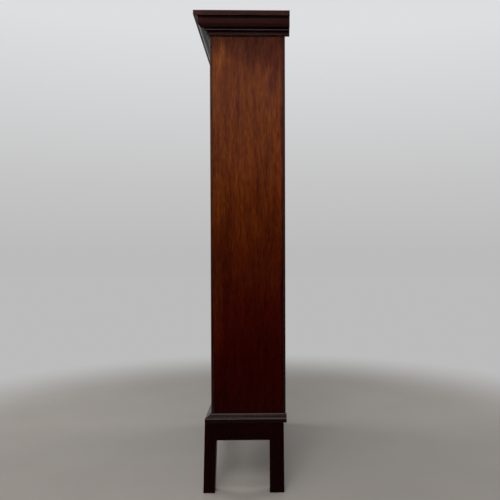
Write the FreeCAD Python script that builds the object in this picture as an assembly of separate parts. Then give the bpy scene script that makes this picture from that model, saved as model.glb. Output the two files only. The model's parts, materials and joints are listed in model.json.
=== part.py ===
import FreeCAD, Part
import math
import os

"""Glazed display cabinet in three parts that stack: a stand on four legs, a carcase with two glazed
doors, and a moulded cornice. Millimetres, +Z up, the doors face -Y, the origin is at the middle of the
footprint on the floor. A moulding's projection is counted outward from the carcase's faces."""

V = FreeCAD.Vector

# Clearances and cuts
overrun = 5.0
joint_clearance = 0.3
running_clearance = 0.06
glass_clearance = 0.5
tolerance = 0.001
# Small rounds, such as pegs, pins, barrels and the key's bow, have this many flats
pin_sides = 8
barrel_sides = 12
bow_sides = 24

# Carcase
carcase_width = 710.0
carcase_depth = 250.5
carcase_height = 1270.0
side_thickness = 20.0
board_thickness = 20.0
housing_depth = 6.0
housing_stop = 14.0
housing_height = 13.0
front_rail_depth = 50.0
nosing_depth = 9.0
nosing_outer_radius = 7.0
nosing_inner_radius = 2.0
back_thickness = 7.0
back_lap = 8.0
back_gap = 0.4
back_board_count = 5

# Shelves on pegs
shelf_thickness = 16.0
shelf_setback = 10.0
shelf_back_gap = 1.0
shelf_end_gap = 1.6
shelf_edge_radius = 6.0
peg_radius = 3.0
peg_projection = 9.0
peg_hole_depth = 9.0
peg_hole_step = 32.0
peg_hole_rows = 2
peg_inset = 34.0

# Stand
leg_height = 234.0
leg_width = 38.0
front_leg_depth = 40.1
rear_leg_depth = 47.2
rear_leg_setback = 6.7
front_leg_rake = 5.6
front_leg_taper = 1.8
rear_leg_rake = 1.8
leg_splay = 2.0
rail_height = 59.0
rail_thickness = 20.0
rail_reveal = 2.0
rail_tenon_thickness = 8.0
rail_tenon_length = 20.0
rail_tenon_shoulder = 7.0
stand_board_thickness = 16.0
glue_block_length = 60.0
glue_block_side = 16.0

# Base moulding, from its foot up: nose, step, cyma and a thin top edge
base_projection = 19.0
base_nose_height = 12.0
base_nose_radius = 6.5
base_step_height = 1.5
base_step_projection = 10.5
base_lip_projection = 1.5
base_height = 28.0
base_rear_overhang = 3.3

# Cornice moulding, from its foot up: lip, bead, band, fillet, ovolo, frieze, cove, soffit and fascia
cornice_height = 66.0
cornice_drop = 1.0
cornice_rear_overhang = 14.8
cornice_lip_projection = 3.3
bead_foot = 1.0
bead_radius = 1.8
band_projection = 8.0
band_top = 11.8
fillet_foot_projection = 9.9
fillet_foot = 13.5
fillet_projection = 17.2
fillet_top = 18.3
ovolo_foot_projection = 20.6
ovolo_radius = 13.9
cove_radius = 5.0
fascia_projection = 48.0
fascia_height = 15.0
cornice_frame_thickness = 18.0
dust_board_thickness = 8.0
cornice_block_side = 26.0
cornice_block_height = 40.0

# Doors
door_thickness = 20.0
hinge_gap = 2.0
meeting_gap = 2.5
door_end_gap = 2.0
stile_width = 36.0
top_rail_width = 42.0
bottom_rail_width = 52.0
sash_radius = 5.0
rebate_width = 6.0
rebate_start = 9.0
glass_thickness = 3.0
putty_width = 5.0
putty_depth = 5.0
putty_edge = 0.6
door_tenon_thickness = 7.0
door_tenon_length = 26.0
door_tenon_start = 6.5
door_tenon_shoulder = 8.0

# Astragal glazing bars
bar_half_width = 6.0
bar_side_depth = 2.0
bar_bead_half_width = 4.8
bar_bead_height = 2.6
bar_bead_flats = 5
bar_rib_thickness = 3.0
bar_rib_depth = 8.0
# Places of the bars' joints, as shares of the glazed opening's width and half height
bar_side_share = 0.26
lozenge_tip_share = 0.12
lozenge_side_share = 0.21
hexagon_tip_share = 0.30
hexagon_side_share = 0.38

# Butt hinges
hinge_height = 60.0
hinge_inset = 150.0
knuckle_radius = 4.0
hinge_pin_radius = 1.6
hinge_pin_tip = 1.5
leaf_thickness = 1.6
leaf_width = 17.0
knuckle_front_gap = 0.5
knuckle_count = 3

# Door stops and the meeting bead
stop_length = 60.0
stop_depth = 10.0
stop_height = 8.0
meeting_bead_width = 8.0
meeting_bead_height = 4.5

# Lock, key, escutcheon and strike
lock_height_share = 0.47
lock_case_front = 11.0
lock_case_width = 26.25
lock_case_below = 18.0
lock_case_above = 20.0
lock_plate_thickness = 1.5
lock_plate_width = 29.0
lock_plate_margin = 6.0
selvedge_thickness = 2.0
selvedge_width = 12.0
lock_wall = 1.5
lock_bolt_height = 10.0
lock_bolt_thickness = 5.0
lock_bolt_length = 25.0
lock_bolt_offset = 12.0
lock_bolt_throw = 8.0
lock_mortise_extra = 1.5
strike_margin = 7.0
key_offset = 6.0
key_inset = 17.25
key_shank_radius = 2.5
key_bit_length = 6.0
key_bit_width = 5.0
key_bit_thickness = 2.2
key_stand_off = 16.0
key_bow_radius = 11.0
key_bow_hole_radius = 6.5
key_bow_thickness = 3.0
key_collar_radius = 3.8
key_collar_length = 2.5
key_bow_overlap = 2.0
escutcheon_width = 14.0
escutcheon_height = 30.0
escutcheon_thickness = 1.5
escutcheon_drop = 2.0
key_slot_gap = 0.4

# Top and bottom bolts of the left door
door_bolt_inset = 15.0
door_bolt_radius = 3.5
door_bolt_length = 62.0
door_bolt_throw = 10.0
door_bolt_end_gap = 0.5
door_bolt_hole_extra = 2.0
bolt_plate_width = 20.0
bolt_plate_length = 64.0
bolt_plate_thickness = 1.5
bolt_plate_end = 4.0
bolt_stand_off = 5.0
bolt_guide_width = 13.0
bolt_guide_length = 10.0
bolt_guide_wall = 2.5
bolt_knob_radius = 3.6
bolt_knob_length = 7.0
bolt_knob_place = 24.0

# Places worked out from the sizes above
half_width = carcase_width / 2
inner_half = half_width - side_thickness
overall_depth = fascia_projection + carcase_depth + cornice_rear_overhang
carcase_front = fascia_projection - overall_depth / 2
carcase_back = carcase_front + carcase_depth
back_face = carcase_back - back_thickness
stand_top = leg_height + stand_board_thickness
carcase_top = stand_top + carcase_height
inner_low = stand_top + board_thickness
inner_high = carcase_top - board_thickness
leg_outer = half_width + base_projection
leg_front = carcase_front - base_projection
leg_rear = carcase_back - rear_leg_setback
door_front = carcase_front + nosing_depth
door_back = door_front + door_thickness
glass_front = door_front + rebate_start
door_low = inner_low + door_end_gap
door_high = inner_high - door_end_gap
door_meeting = meeting_gap / 2
door_edge = inner_half - hinge_gap
pane_low = door_low + bottom_rail_width
pane_high = door_high - top_rail_width
pane_left = door_meeting + stile_width
pane_right = door_edge - stile_width
shelf_front = door_back + shelf_setback
lock_height = door_low + (door_high - door_low) * lock_height_share


def block(x0, x1, y0, y1, z0, z1):
    """A box between two corners."""
    return Part.makeBox(x1 - x0, y1 - y0, z1 - z0, V(x0, y0, z0))


def rod(radius, length, start, way, sides=pin_sides):
    """A small rod or hole with flats, from start along a unit vector."""
    u = V(way.y, way.z, way.x)
    w = way.cross(u)
    corners = []
    for i in range(sides):
        angle = 2 * math.pi * i / sides
        corners.append(start + u * (radius * math.cos(angle)) + w * (radius * math.sin(angle)))
    return Part.Face(Part.makePolygon(corners + corners[:1])).extrude(way * length)


def bore_radius(radius, sides=pin_sides):
    """Radius at the corners of a hole with flats that clears a round of this radius."""
    return radius / math.cos(math.pi / sides)


def mirrored(shape):
    """The same shape on the other side of the cabinet."""
    return shape.mirror(V(0, 0, 0), V(1, 0, 0))


def fused(first, *others):
    """Solids joined into one, with the seams between flush faces taken out."""
    return first.fuse(list(others)).removeSplitter()


def arc(centre, radius, start, end):
    """An arc's middle and end point, about centre, between two angles in degrees."""
    middle = (start + end) / 2
    return tuple(
        (
            centre[0] + radius * math.cos(math.radians(angle)),
            centre[1] + radius * math.sin(math.radians(angle)),
        )
        for angle in (middle, end)
    )


def face(profile, place):
    """A face whose outline runs through the profile. A step is a point, or an arc's middle and end."""
    edges = []
    last = profile[0]
    closed = isinstance(profile[-1][0], tuple) and math.dist(profile[-1][1], profile[0]) < tolerance
    for step in profile[1:] + ([] if closed else profile[:1]):
        if isinstance(step[0], tuple):
            end = step[1]
            edges.append(Part.Arc(place(*last), place(*step[0]), place(*end)).toShape())
        else:
            end = step
            edges.append(Part.LineSegment(place(*last), place(*end)).toShape())
        last = end
    return Part.Face(Part.Wire(edges))


def upright(plan, low, high):
    """A solid that stands on an outline given in x and y."""
    return face(plan, lambda x, y: V(x, y, low)).extrude(V(0, 0, high - low))


def through(elevation, front, back):
    """A solid whose outline is given in x and z, from a front to a back place."""
    return face(elevation, lambda x, z: V(x, front, z)).extrude(V(0, back - front, 0))


def moulding_runs(profile, projection, low, high, rear):
    """The front, left and right lengths of a moulding, mitred at the front corners."""
    reach = projection + overrun
    front = face(profile, lambda p, z: V(-half_width - reach, carcase_front - p, z))
    front = front.extrude(V(2 * (half_width + reach), 0, 0))
    right = face(profile, lambda p, z: V(half_width + p, carcase_front - reach, z))
    right = right.extrude(V(0, rear - carcase_front + reach, 0))
    front_plan = [
        (-half_width, carcase_front),
        (-half_width - reach, carcase_front - reach),
        (half_width + reach, carcase_front - reach),
        (half_width, carcase_front),
    ]
    right_plan = [
        (half_width, carcase_front),
        (half_width + reach, carcase_front - reach),
        (half_width + reach, rear + overrun),
        (half_width, rear + overrun),
    ]
    front = front.common(upright(front_plan, low - overrun, high + overrun))
    right = right.common(upright(right_plan, low - overrun, high + overrun))
    return front, mirrored(right), right


def leg(top, foot):
    """A tapering leg between a foot and a top rectangle, each as x0, x1, y0, y1."""
    wires = []
    for (x0, x1, y0, y1), z in ((foot, 0), (top, leg_height)):
        corners = [V(x0, y0, z), V(x1, y0, z), V(x1, y1, z), V(x0, y1, z)]
        wires.append(Part.makePolygon(corners + corners[:1]))
    return Part.makeLoft(wires, True, True)


def stand():
    """Legs, mortised rails, top board, base moulding and glue blocks."""
    inner = leg_outer - leg_width
    front_back = leg_front + front_leg_depth
    rear_front = leg_rear - rear_leg_depth
    front_leg = leg(
        (inner, leg_outer, leg_front, front_back),
        (
            inner + leg_splay,
            leg_outer + leg_splay,
            leg_front - front_leg_rake,
            front_back - front_leg_rake - front_leg_taper,
        ),
    )
    rear_leg = leg(
        (inner, leg_outer, rear_front, leg_rear),
        (inner + leg_splay, leg_outer + leg_splay, rear_front, leg_rear + rear_leg_rake),
    )
    low = leg_height - rail_height
    tenon_low = low + rail_tenon_shoulder
    tenon_high = leg_height - rail_tenon_shoulder
    cheek = (rail_thickness - rail_tenon_thickness) / 2
    reach = leg_width - rail_tenon_length

    side_out = leg_outer - rail_reveal
    side_in = side_out - rail_thickness
    side_body = block(
        side_in, side_out, front_back - front_leg_depth / 2, rear_front + rear_leg_depth / 2, low, leg_height
    )
    side_tenon = block(
        side_in + cheek,
        side_out - cheek,
        front_back - rail_tenon_length,
        rear_front + rail_tenon_length,
        tenon_low,
        tenon_high,
    )
    side_rail = fused(side_body.cut([front_leg, rear_leg]), side_tenon)

    cross_rails = []
    cross_tenons = []
    front_rail_y = leg_front + rail_reveal
    back_rail_y = leg_rear - rail_reveal - rail_thickness
    for y0, own_leg in ((front_rail_y, front_leg), (back_rail_y, rear_leg)):
        middle = inner + leg_width / 2
        body = block(-middle, middle, y0, y0 + rail_thickness, low, leg_height)
        tenon = block(
            reach - leg_outer,
            leg_outer - reach,
            y0 + cheek,
            y0 + rail_thickness - cheek,
            tenon_low,
            tenon_high,
        )
        cross_rails.append(fused(body.cut([own_leg, mirrored(own_leg)]), tenon))
        cross_tenons.append(tenon)

    front_leg = front_leg.cut([side_tenon, cross_tenons[0]])
    rear_leg = rear_leg.cut([side_tenon, cross_tenons[1]])

    blocks = []
    block_low = leg_height - glue_block_side
    for x in (-half_width / 2, half_width / 2):
        x0 = x - glue_block_length / 2
        x1 = x + glue_block_length / 2
        front_seat = front_rail_y + rail_thickness
        blocks.append(block(x0, x1, front_seat, front_seat + glue_block_side, block_low, leg_height))
        blocks.append(block(x0, x1, back_rail_y - glue_block_side, back_rail_y, block_low, leg_height))
    middle = (carcase_front + carcase_back) / 2
    side_block = block(
        side_in - glue_block_side,
        side_in,
        middle - glue_block_length / 2,
        middle + glue_block_length / 2,
        block_low,
        leg_height,
    )
    blocks += [side_block, mirrored(side_block)]

    nose_top = leg_height + base_nose_height
    step = nose_top + base_nose_radius
    step_top = step + base_step_height
    base_top = leg_height + base_height
    cyma_p = (base_step_projection + base_lip_projection) / 2
    cyma_z = (step_top + base_top) / 2
    quarter_p = (base_step_projection - base_lip_projection) / 4
    quarter_z = (base_top - step_top) / 4
    bulge = (quarter_p + quarter_z) / 4
    profile = [
        (0, leg_height),
        (base_projection, leg_height),
        (base_projection, nose_top),
        arc((base_projection - base_nose_radius, nose_top), base_nose_radius, 0, 90),
        (base_step_projection, step),
        (base_step_projection, step_top),
        ((cyma_p + quarter_p - bulge, cyma_z - quarter_z - bulge), (cyma_p, cyma_z)),
        ((cyma_p - quarter_p + bulge, cyma_z + quarter_z + bulge), (base_lip_projection, base_top)),
        (0, base_top),
    ]
    runs = moulding_runs(profile, base_projection, leg_height, base_top, carcase_back + base_rear_overhang)
    return {
        "front_right_leg": front_leg,
        "front_left_leg": mirrored(front_leg),
        "rear_right_leg": rear_leg,
        "rear_left_leg": mirrored(rear_leg),
        "front_rail": cross_rails[0],
        "back_rail": cross_rails[1],
        "right_side_rail": side_rail,
        "left_side_rail": mirrored(side_rail),
        "stand_top_board": block(-half_width, half_width, carcase_front, carcase_back, leg_height, stand_top),
        "stand_glue_blocks": Part.makeCompound(blocks),
        "front_base_moulding": runs[0],
        "left_base_moulding": runs[1],
        "right_base_moulding": runs[2],
    }


def shelf_heights():
    """Names and undersides of the adjustable shelves, evenly spaced."""
    names = ("lower_shelf", "middle_shelf", "upper_shelf")
    pitch = (inner_high - inner_low) / (len(names) + 1)
    return {name: inner_low + pitch * (i + 1) - shelf_thickness / 2 for i, name in enumerate(names)}


def carcase():
    """Side panels with nosings, top and bottom boards, planted back, shelves on pegs, and door stops."""
    side_front = carcase_front + nosing_depth
    side = block(inner_half, half_width, side_front, back_face, stand_top, carcase_top)
    boards = {}
    tongues = []
    reach = inner_half + housing_depth
    rail_back = carcase_front + front_rail_depth
    for level, z0, tongue_z0 in (
        ("bottom", stand_top, stand_top),
        ("top", inner_high, carcase_top - housing_height),
    ):
        body = block(-inner_half, inner_half, carcase_front, back_face, z0, z0 + board_thickness)
        tongue = block(
            -reach, reach, side_front + housing_stop, back_face, tongue_z0, tongue_z0 + housing_height
        )
        whole = fused(body, tongue)
        rail_space = block(-reach, reach, carcase_front, rail_back, z0, z0 + board_thickness)
        boards["carcase_" + level + "_rail"] = whole.common(rail_space)
        boards["carcase_" + level + "_board"] = whole.cut(rail_space)
        tongues.append(tongue)
    side = side.cut(tongues)

    columns = (shelf_front + peg_inset, back_face - peg_inset)
    holes = []
    pegs = []
    across = V(1, 0, 0)
    for underside in shelf_heights().values():
        height = underside - peg_radius
        for y in columns:
            for step in range(peg_hole_rows):
                z = height + step * peg_hole_step
                start = V(inner_half - overrun, y, z)
                holes.append(rod(peg_radius + running_clearance, overrun + peg_hole_depth, start, across))
            tip = V(inner_half - peg_projection, y, height)
            peg = rod(peg_radius, peg_projection + peg_hole_depth, tip, across)
            pegs += [peg, mirrored(peg)]
    side = side.cut(holes)

    inner_x = inner_half + nosing_inner_radius
    outer_x = half_width - nosing_outer_radius
    nosing = upright(
        [
            (inner_half, side_front),
            (inner_half, carcase_front + nosing_inner_radius),
            arc((inner_x, carcase_front + nosing_inner_radius), nosing_inner_radius, 180, 270),
            (outer_x, carcase_front),
            arc((outer_x, carcase_front + nosing_outer_radius), nosing_outer_radius, -90, 0),
            (half_width, side_front),
        ],
        stand_top,
        carcase_top,
    )

    for x, y, _, sign in bolt_places():
        hole = rod(
            bore_radius(door_bolt_radius + joint_clearance, barrel_sides),
            door_bolt_throw + door_bolt_hole_extra + overrun,
            V(x, y, inner_high - overrun if sign > 0 else inner_low + overrun),
            V(0, 0, sign),
            barrel_sides,
        )
        name = "carcase_top_rail" if sign > 0 else "carcase_bottom_rail"
        boards[name] = boards[name].cut(hole)

    stops = []
    stop_front = door_back + joint_clearance
    for x in (-inner_half / 2, inner_half / 2):
        for z0, z1 in ((inner_low, inner_low + stop_height), (inner_high - stop_height, inner_high)):
            stops.append(
                block(x - stop_length / 2, x + stop_length / 2, stop_front, stop_front + stop_depth, z0, z1)
            )

    parts = {
        "right_side_panel": side,
        "left_side_panel": mirrored(side),
        "right_nosing": nosing,
        "left_nosing": mirrored(nosing),
        "back_boards": Part.makeCompound(back_boards()),
        "shelf_pegs": Part.makeCompound(pegs),
        "door_stops": Part.makeCompound(stops),
    }
    parts.update(boards)
    for name, underside in shelf_heights().items():
        parts[name] = shelf(underside)
    return parts


def back_boards():
    """Upright boards planted on the back, each lapped over the next."""
    boards = []
    pitch = carcase_width / back_board_count
    middle = carcase_back - back_thickness / 2
    for i in range(back_board_count):
        x0 = -half_width + pitch * i
        x1 = x0 + pitch
        first = i == 0
        last = i == back_board_count - 1
        rear = block(
            x0 if first else x0 + back_gap,
            x1,
            middle,
            carcase_back,
            stand_top,
            carcase_top,
        )
        front = block(
            x0 if first else x0 + back_lap + back_gap,
            x1 if last else x1 + back_lap,
            back_face,
            middle,
            stand_top,
            carcase_top,
        )
        boards.append(fused(rear, front))
    return boards


def shelf(underside):
    """One shelf with a thumb-moulded front edge."""
    top = underside + shelf_thickness
    rear = back_face - shelf_back_gap
    curve = shelf_front + shelf_edge_radius
    reach = inner_half - shelf_end_gap
    profile = [
        (rear, underside),
        (rear, top),
        (curve, top),
        arc((curve, top - shelf_edge_radius), shelf_edge_radius, 90, 180),
        (shelf_front, underside),
    ]
    return face(profile, lambda y, z: V(-reach, y, z)).extrude(V(2 * reach, 0, 0))


def cornice():
    """Mitred mouldings planted on a softwood frame, closed by a dust board. The sides run past the back."""
    top = carcase_top + cornice_height
    rear = carcase_back + cornice_rear_overhang
    foot = carcase_top
    ovolo_centre = (ovolo_foot_projection, foot + fillet_top + ovolo_radius)
    frieze = ovolo_foot_projection + ovolo_radius
    soffit = top - fascia_height
    bead_middle = foot + bead_foot + bead_radius
    profile = [
        (0, foot - cornice_drop),
        (cornice_lip_projection, foot - cornice_drop),
        (cornice_lip_projection, foot + bead_foot),
        (band_projection, foot + bead_foot),
        arc((band_projection, bead_middle), bead_radius, -90, 90),
        (band_projection, foot + band_top),
        (fillet_foot_projection, foot + band_top),
        (fillet_projection, foot + fillet_foot),
        (fillet_projection, foot + fillet_top),
        (ovolo_foot_projection, foot + fillet_top),
        arc(ovolo_centre, ovolo_radius, -90, 0),
        (frieze, soffit - cove_radius),
        arc((frieze + cove_radius, soffit - cove_radius), cove_radius, 180, 90),
        (fascia_projection, soffit),
        (fascia_projection, top),
        (0, top),
    ]
    runs = moulding_runs(profile, fascia_projection, foot - cornice_drop, top, rear)

    board_low = top - dust_board_thickness
    t = cornice_frame_thickness
    side = block(half_width - t, half_width, carcase_front + t, carcase_back, foot, board_low)
    frame = [
        block(-half_width, half_width, carcase_front, carcase_front + t, foot, board_low),
        block(-half_width + t, half_width - t, carcase_back - t, carcase_back, foot, board_low),
        side,
        mirrored(side),
    ]
    corners = []
    for y0 in (carcase_front + t, carcase_back - t - cornice_block_side):
        corner = block(
            half_width - t - cornice_block_side,
            half_width - t,
            y0,
            y0 + cornice_block_side,
            foot,
            foot + cornice_block_height,
        )
        corners += [corner, mirrored(corner)]
    return {
        "front_cornice_moulding": runs[0],
        "left_cornice_moulding": runs[1],
        "right_cornice_moulding": runs[2],
        "cornice_frame": Part.makeCompound(frame),
        "cornice_dust_board": block(-half_width, half_width, carcase_front, carcase_back, board_low, top),
        "cornice_corner_blocks": Part.makeCompound(corners),
    }


def door_frame():
    """The right door's stiles and rails, moulded and rebated round the opening, with mortised joints."""
    ring = block(door_meeting, door_edge, door_front, door_back, door_low, door_high)
    ring = ring.cut(
        block(pane_left, pane_right, door_front - overrun, door_back + overrun, pane_low, pane_high)
    )
    front_edges = []
    for edge in ring.Edges:
        box = edge.BoundBox
        on_front = box.YMax < door_front + glass_clearance
        in_width = box.XMin > door_meeting + overrun and box.XMax < door_edge - overrun
        if on_front and in_width:
            front_edges.append(edge)
    ring = ring.makeFillet(sash_radius, front_edges)
    ring = ring.cut(
        block(
            pane_left - rebate_width,
            pane_right + rebate_width,
            glass_front,
            door_back + overrun,
            pane_low - rebate_width,
            pane_high + rebate_width,
        )
    )
    tenon_y = door_front + door_tenon_start
    tenons = []
    rails = []
    for z0, z1, tenon_z0, tenon_z1 in (
        (door_low, pane_low, door_low + door_tenon_shoulder, pane_low - rebate_width),
        (pane_high, door_high, pane_high + rebate_width, door_high - door_tenon_shoulder),
    ):
        tenon = block(
            pane_left - door_tenon_length,
            pane_right + door_tenon_length,
            tenon_y,
            tenon_y + door_tenon_thickness,
            tenon_z0,
            tenon_z1,
        )
        rail = ring.common(block(pane_left, pane_right, door_front, door_back, z0, z1))
        rails.append(fused(rail, tenon))
        tenons.append(tenon)
    meeting = ring.common(block(door_meeting, pane_left, door_front, door_back, door_low, door_high))
    hinge = ring.common(block(pane_right, door_edge, door_front, door_back, door_low, door_high))
    recesses = [leaf_recess(z) for z in hinge_places()]
    return {
        "meeting_stile": meeting.cut(tenons),
        "hinge_stile": hinge.cut(tenons + recesses),
        "bottom_rail": rails[0],
        "top_rail": rails[1],
    }


def bar_lines():
    """Centre lines of one door's glazing bars, as pairs of points in x and z, and the points on the frame."""
    width = pane_right - pane_left
    height = pane_high - pane_low
    centre = pane_left + width / 2
    left = pane_left + width * bar_side_share
    right = pane_right - width * bar_side_share
    lines = []
    sides = []
    ends = []
    for edge, direction in ((pane_low, 1), (pane_high, -1)):

        def level(share):
            return edge + direction * height * share

        foot = (centre, edge)
        tip = (centre, level(lozenge_tip_share))
        head = (centre, level(hexagon_tip_share))
        lines.append((foot, tip))
        ends.append(foot)
        for x, frame_x in ((left, pane_left), (right, pane_right)):
            lozenge = (x, level(lozenge_side_share))
            hexagon = (x, level(hexagon_side_share))
            lozenge_end = (frame_x, level(lozenge_side_share))
            hexagon_end = (frame_x, level(hexagon_side_share))
            lines += [(tip, lozenge), (lozenge, head), (head, hexagon)]
            lines += [(lozenge, lozenge_end), (hexagon, hexagon_end)]
            ends += [lozenge_end, hexagon_end]
            sides.append(hexagon)
    lines += [(sides[0], sides[2]), (sides[1], sides[3])]
    return lines, ends


def mitre_corners(point, other, lines, half, reach):
    """Corners of a bar's end at point, left and right of the line to other, mitred to its neighbours."""
    along = math.atan2(other[1] - point[1], other[0] - point[0])
    turns = []
    for line in lines:
        for here, there in (line, line[::-1]):
            if here == point and there != other:
                angle = math.atan2(there[1] - here[1], there[0] - here[0])
                turns.append((angle - along) % (2 * math.pi))
    if not turns:
        back = (point[0] - reach * math.cos(along), point[1] - reach * math.sin(along))
        left = (back[0] - half * math.sin(along), back[1] + half * math.cos(along))
        right = (back[0] + half * math.sin(along), back[1] - half * math.cos(along))
        return left, back, right
    left_turn = min(turns) / 2
    right_turn = (2 * math.pi - max(turns)) / 2
    left_length = half / math.sin(left_turn)
    right_length = half / math.sin(right_turn)
    left = (
        point[0] + left_length * math.cos(along + left_turn),
        point[1] + left_length * math.sin(along + left_turn),
    )
    right = (
        point[0] + right_length * math.cos(along - right_turn),
        point[1] + right_length * math.sin(along - right_turn),
    )
    return left, point, right


def bar_prism(start, end, lines, half, front, back):
    """The space of one bar between two depths, mitred at both ends."""
    left0, middle0, right0 = mitre_corners(start, end, lines, half, rebate_width)
    left1, middle1, right1 = mitre_corners(end, start, lines, half, rebate_width)
    corners = [middle0, left0, right1, middle1, left1, right0]
    return through(corners, front, back)


def bead_points(shoulder):
    """The bead of a glazing bar's section, as flats on a low arc."""
    half_angle = 2 * math.atan(bar_bead_height / bar_bead_half_width)
    radius = bar_bead_half_width / math.sin(half_angle)
    centre = shoulder - bar_bead_height + radius
    points = []
    for i in range(1, bar_bead_flats + 1):
        angle = half_angle * (2 * i / bar_bead_flats - 1)
        points.append((radius * math.sin(angle), centre - radius * math.cos(angle)))
    return points


def astragal_bars():
    """Glazing bars of the right door: a bead in front, a rib between the panes, mitred at each joint."""
    lines, ends = bar_lines()
    rib = bar_rib_thickness / 2
    shoulder = glass_front - bar_side_depth
    rear = glass_front + bar_rib_depth
    profile = [
        (-bar_half_width, glass_front),
        (-bar_half_width, shoulder),
        (-bar_bead_half_width, shoulder),
        *bead_points(shoulder),
        (bar_half_width, shoulder),
        (bar_half_width, glass_front),
        (rib, glass_front),
        (rib, rear),
        (-rib, rear),
        (-rib, glass_front),
    ]
    frame_front = block(pane_left, pane_right, door_front, glass_front, pane_low, pane_high)
    frame_rear = block(
        pane_left - rebate_width,
        pane_right + rebate_width,
        glass_front,
        door_back,
        pane_low - rebate_width,
        pane_high + rebate_width,
    )
    opening = fused(frame_front, frame_rear)
    bars = []
    for start, end in lines:
        length = math.dist(start, end)
        along = V((end[0] - start[0]) / length, 0, (end[1] - start[1]) / length)
        across = V(-along.z, 0, along.x)
        reach = rebate_width + 2 * bar_half_width
        origin = V(start[0], 0, start[1]) - along * reach
        section = face(profile, lambda w, y: origin + across * w + V(0, y, 0))
        bar = section.extrude(along * (length + 2 * reach))
        bar = bar.common(bar_prism(start, end, lines, bar_half_width, door_front, door_back))
        if start in ends or end in ends:
            bar = bar.common(opening)
        bars.append(bar)
    return Part.makeCompound(bars)


def glass_panes():
    """Panes of the right door, one in each space between the bars' ribs."""
    lines, _ = bar_lines()
    rear = glass_front + glass_thickness
    margin = rebate_width - glass_clearance
    sheet = block(
        pane_left - margin, pane_right + margin, glass_front, rear, pane_low - margin, pane_high + margin
    )
    half = bar_rib_thickness / 2 + glass_clearance
    ribs = [
        bar_prism(start, end, lines, half, glass_front - overrun, rear + overrun) for start, end in lines
    ]
    return Part.makeCompound(sheet.cut(ribs).Solids)


def putty(panes):
    """A bevelled fillet of putty round the back of each pane."""
    start = glass_front + glass_thickness
    fillets = []
    for pane in panes.Solids:
        rear = max(pane.Faces, key=lambda f: f.CenterOfMass.y)
        whole = rear.extrude(V(0, putty_depth, 0))
        wide = rear.OuterWire.makeOffset2D(-putty_width, 2)
        narrow = rear.OuterWire.makeOffset2D(-putty_edge, 2)
        wide.translate(V(0, start - rear.CenterOfMass.y, 0))
        narrow.translate(V(0, putty_depth, 0))
        hollow = Part.makeLoft([wide, narrow], True, True)
        fillets.append(whole.cut(hollow))
    return Part.makeCompound(fillets)


def hinge_places():
    """Middle heights of one door's hinges."""
    low = door_low + hinge_inset
    high = door_high - hinge_inset
    return (low, (low + high) / 2, high)


def hinge_axis():
    """Place of the right hinge pins in x and y."""
    return (
        inner_half - knuckle_radius - joint_clearance,
        door_front - knuckle_radius - knuckle_front_gap,
    )


def leaf_recess(z):
    """The cut that lets a hinge leaf into the edge of the right door."""
    low = z - hinge_height / 2
    return block(
        door_edge - leaf_thickness,
        door_edge + overrun,
        door_front - overrun,
        door_front + leaf_width,
        low,
        low + hinge_height,
    )


def hinges():
    """Right-hand hinges: leaves on the carcase, leaves on the door, and pins."""
    x, y = hinge_axis()
    up = V(0, 0, 1)
    pitch = hinge_height / knuckle_count
    carcase_leaves = []
    door_leaves = []
    pins = []
    for z in hinge_places():
        low = z - hinge_height / 2
        high = low + hinge_height
        rear = door_front + leaf_width
        plate = block(inner_half - leaf_thickness, inner_half, door_front, rear, low, high)
        door_plate = block(door_edge - leaf_thickness, door_edge, door_front, rear, low, high)
        carcase_pieces = []
        door_pieces = []
        for i in range(knuckle_count):
            on_door = i % 2 == 1
            trim = joint_clearance if on_door else 0
            z0 = low + pitch * i + trim
            z1 = z0 + pitch - 2 * trim
            knuckle = rod(knuckle_radius, z1 - z0, V(x, y, z0), up, barrel_sides)
            outer = door_edge if on_door else inner_half
            tab = block(outer - leaf_thickness, outer, y, door_front + leaf_thickness, z0, z1)
            pieces = door_pieces if on_door else carcase_pieces
            pieces += [knuckle, tab]
        bore = rod(
            bore_radius(hinge_pin_radius + running_clearance),
            hinge_height + 2 * overrun,
            V(x, y, low - overrun),
            up,
        )
        carcase_leaves.append(fused(plate, *carcase_pieces).cut(bore))
        door_leaves.append(fused(door_plate, *door_pieces).cut(bore))
        pins.append(rod(hinge_pin_radius, hinge_height + 2 * hinge_pin_tip, V(x, y, low - hinge_pin_tip), up))
    return (
        Part.makeCompound(carcase_leaves),
        Part.makeCompound(door_leaves),
        Part.makeCompound(pins),
    )


def keyhole(extra, front, back):
    """The space that the key needs to go in: a round hole with a slot below it."""
    x, z = key_place()
    radius = bore_radius(key_shank_radius + extra, barrel_sides)
    hole = rod(radius, back - front, V(x, front, z), V(0, 1, 0), barrel_sides)
    half = key_bit_thickness / 2 + extra
    slot = block(x - half, x + half, front, back, z - key_shank_radius - key_bit_length - extra, z)
    return hole.fuse(slot)


def key_place():
    """Key axis in x and z."""
    return door_meeting + key_inset, lock_height - key_offset


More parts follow.
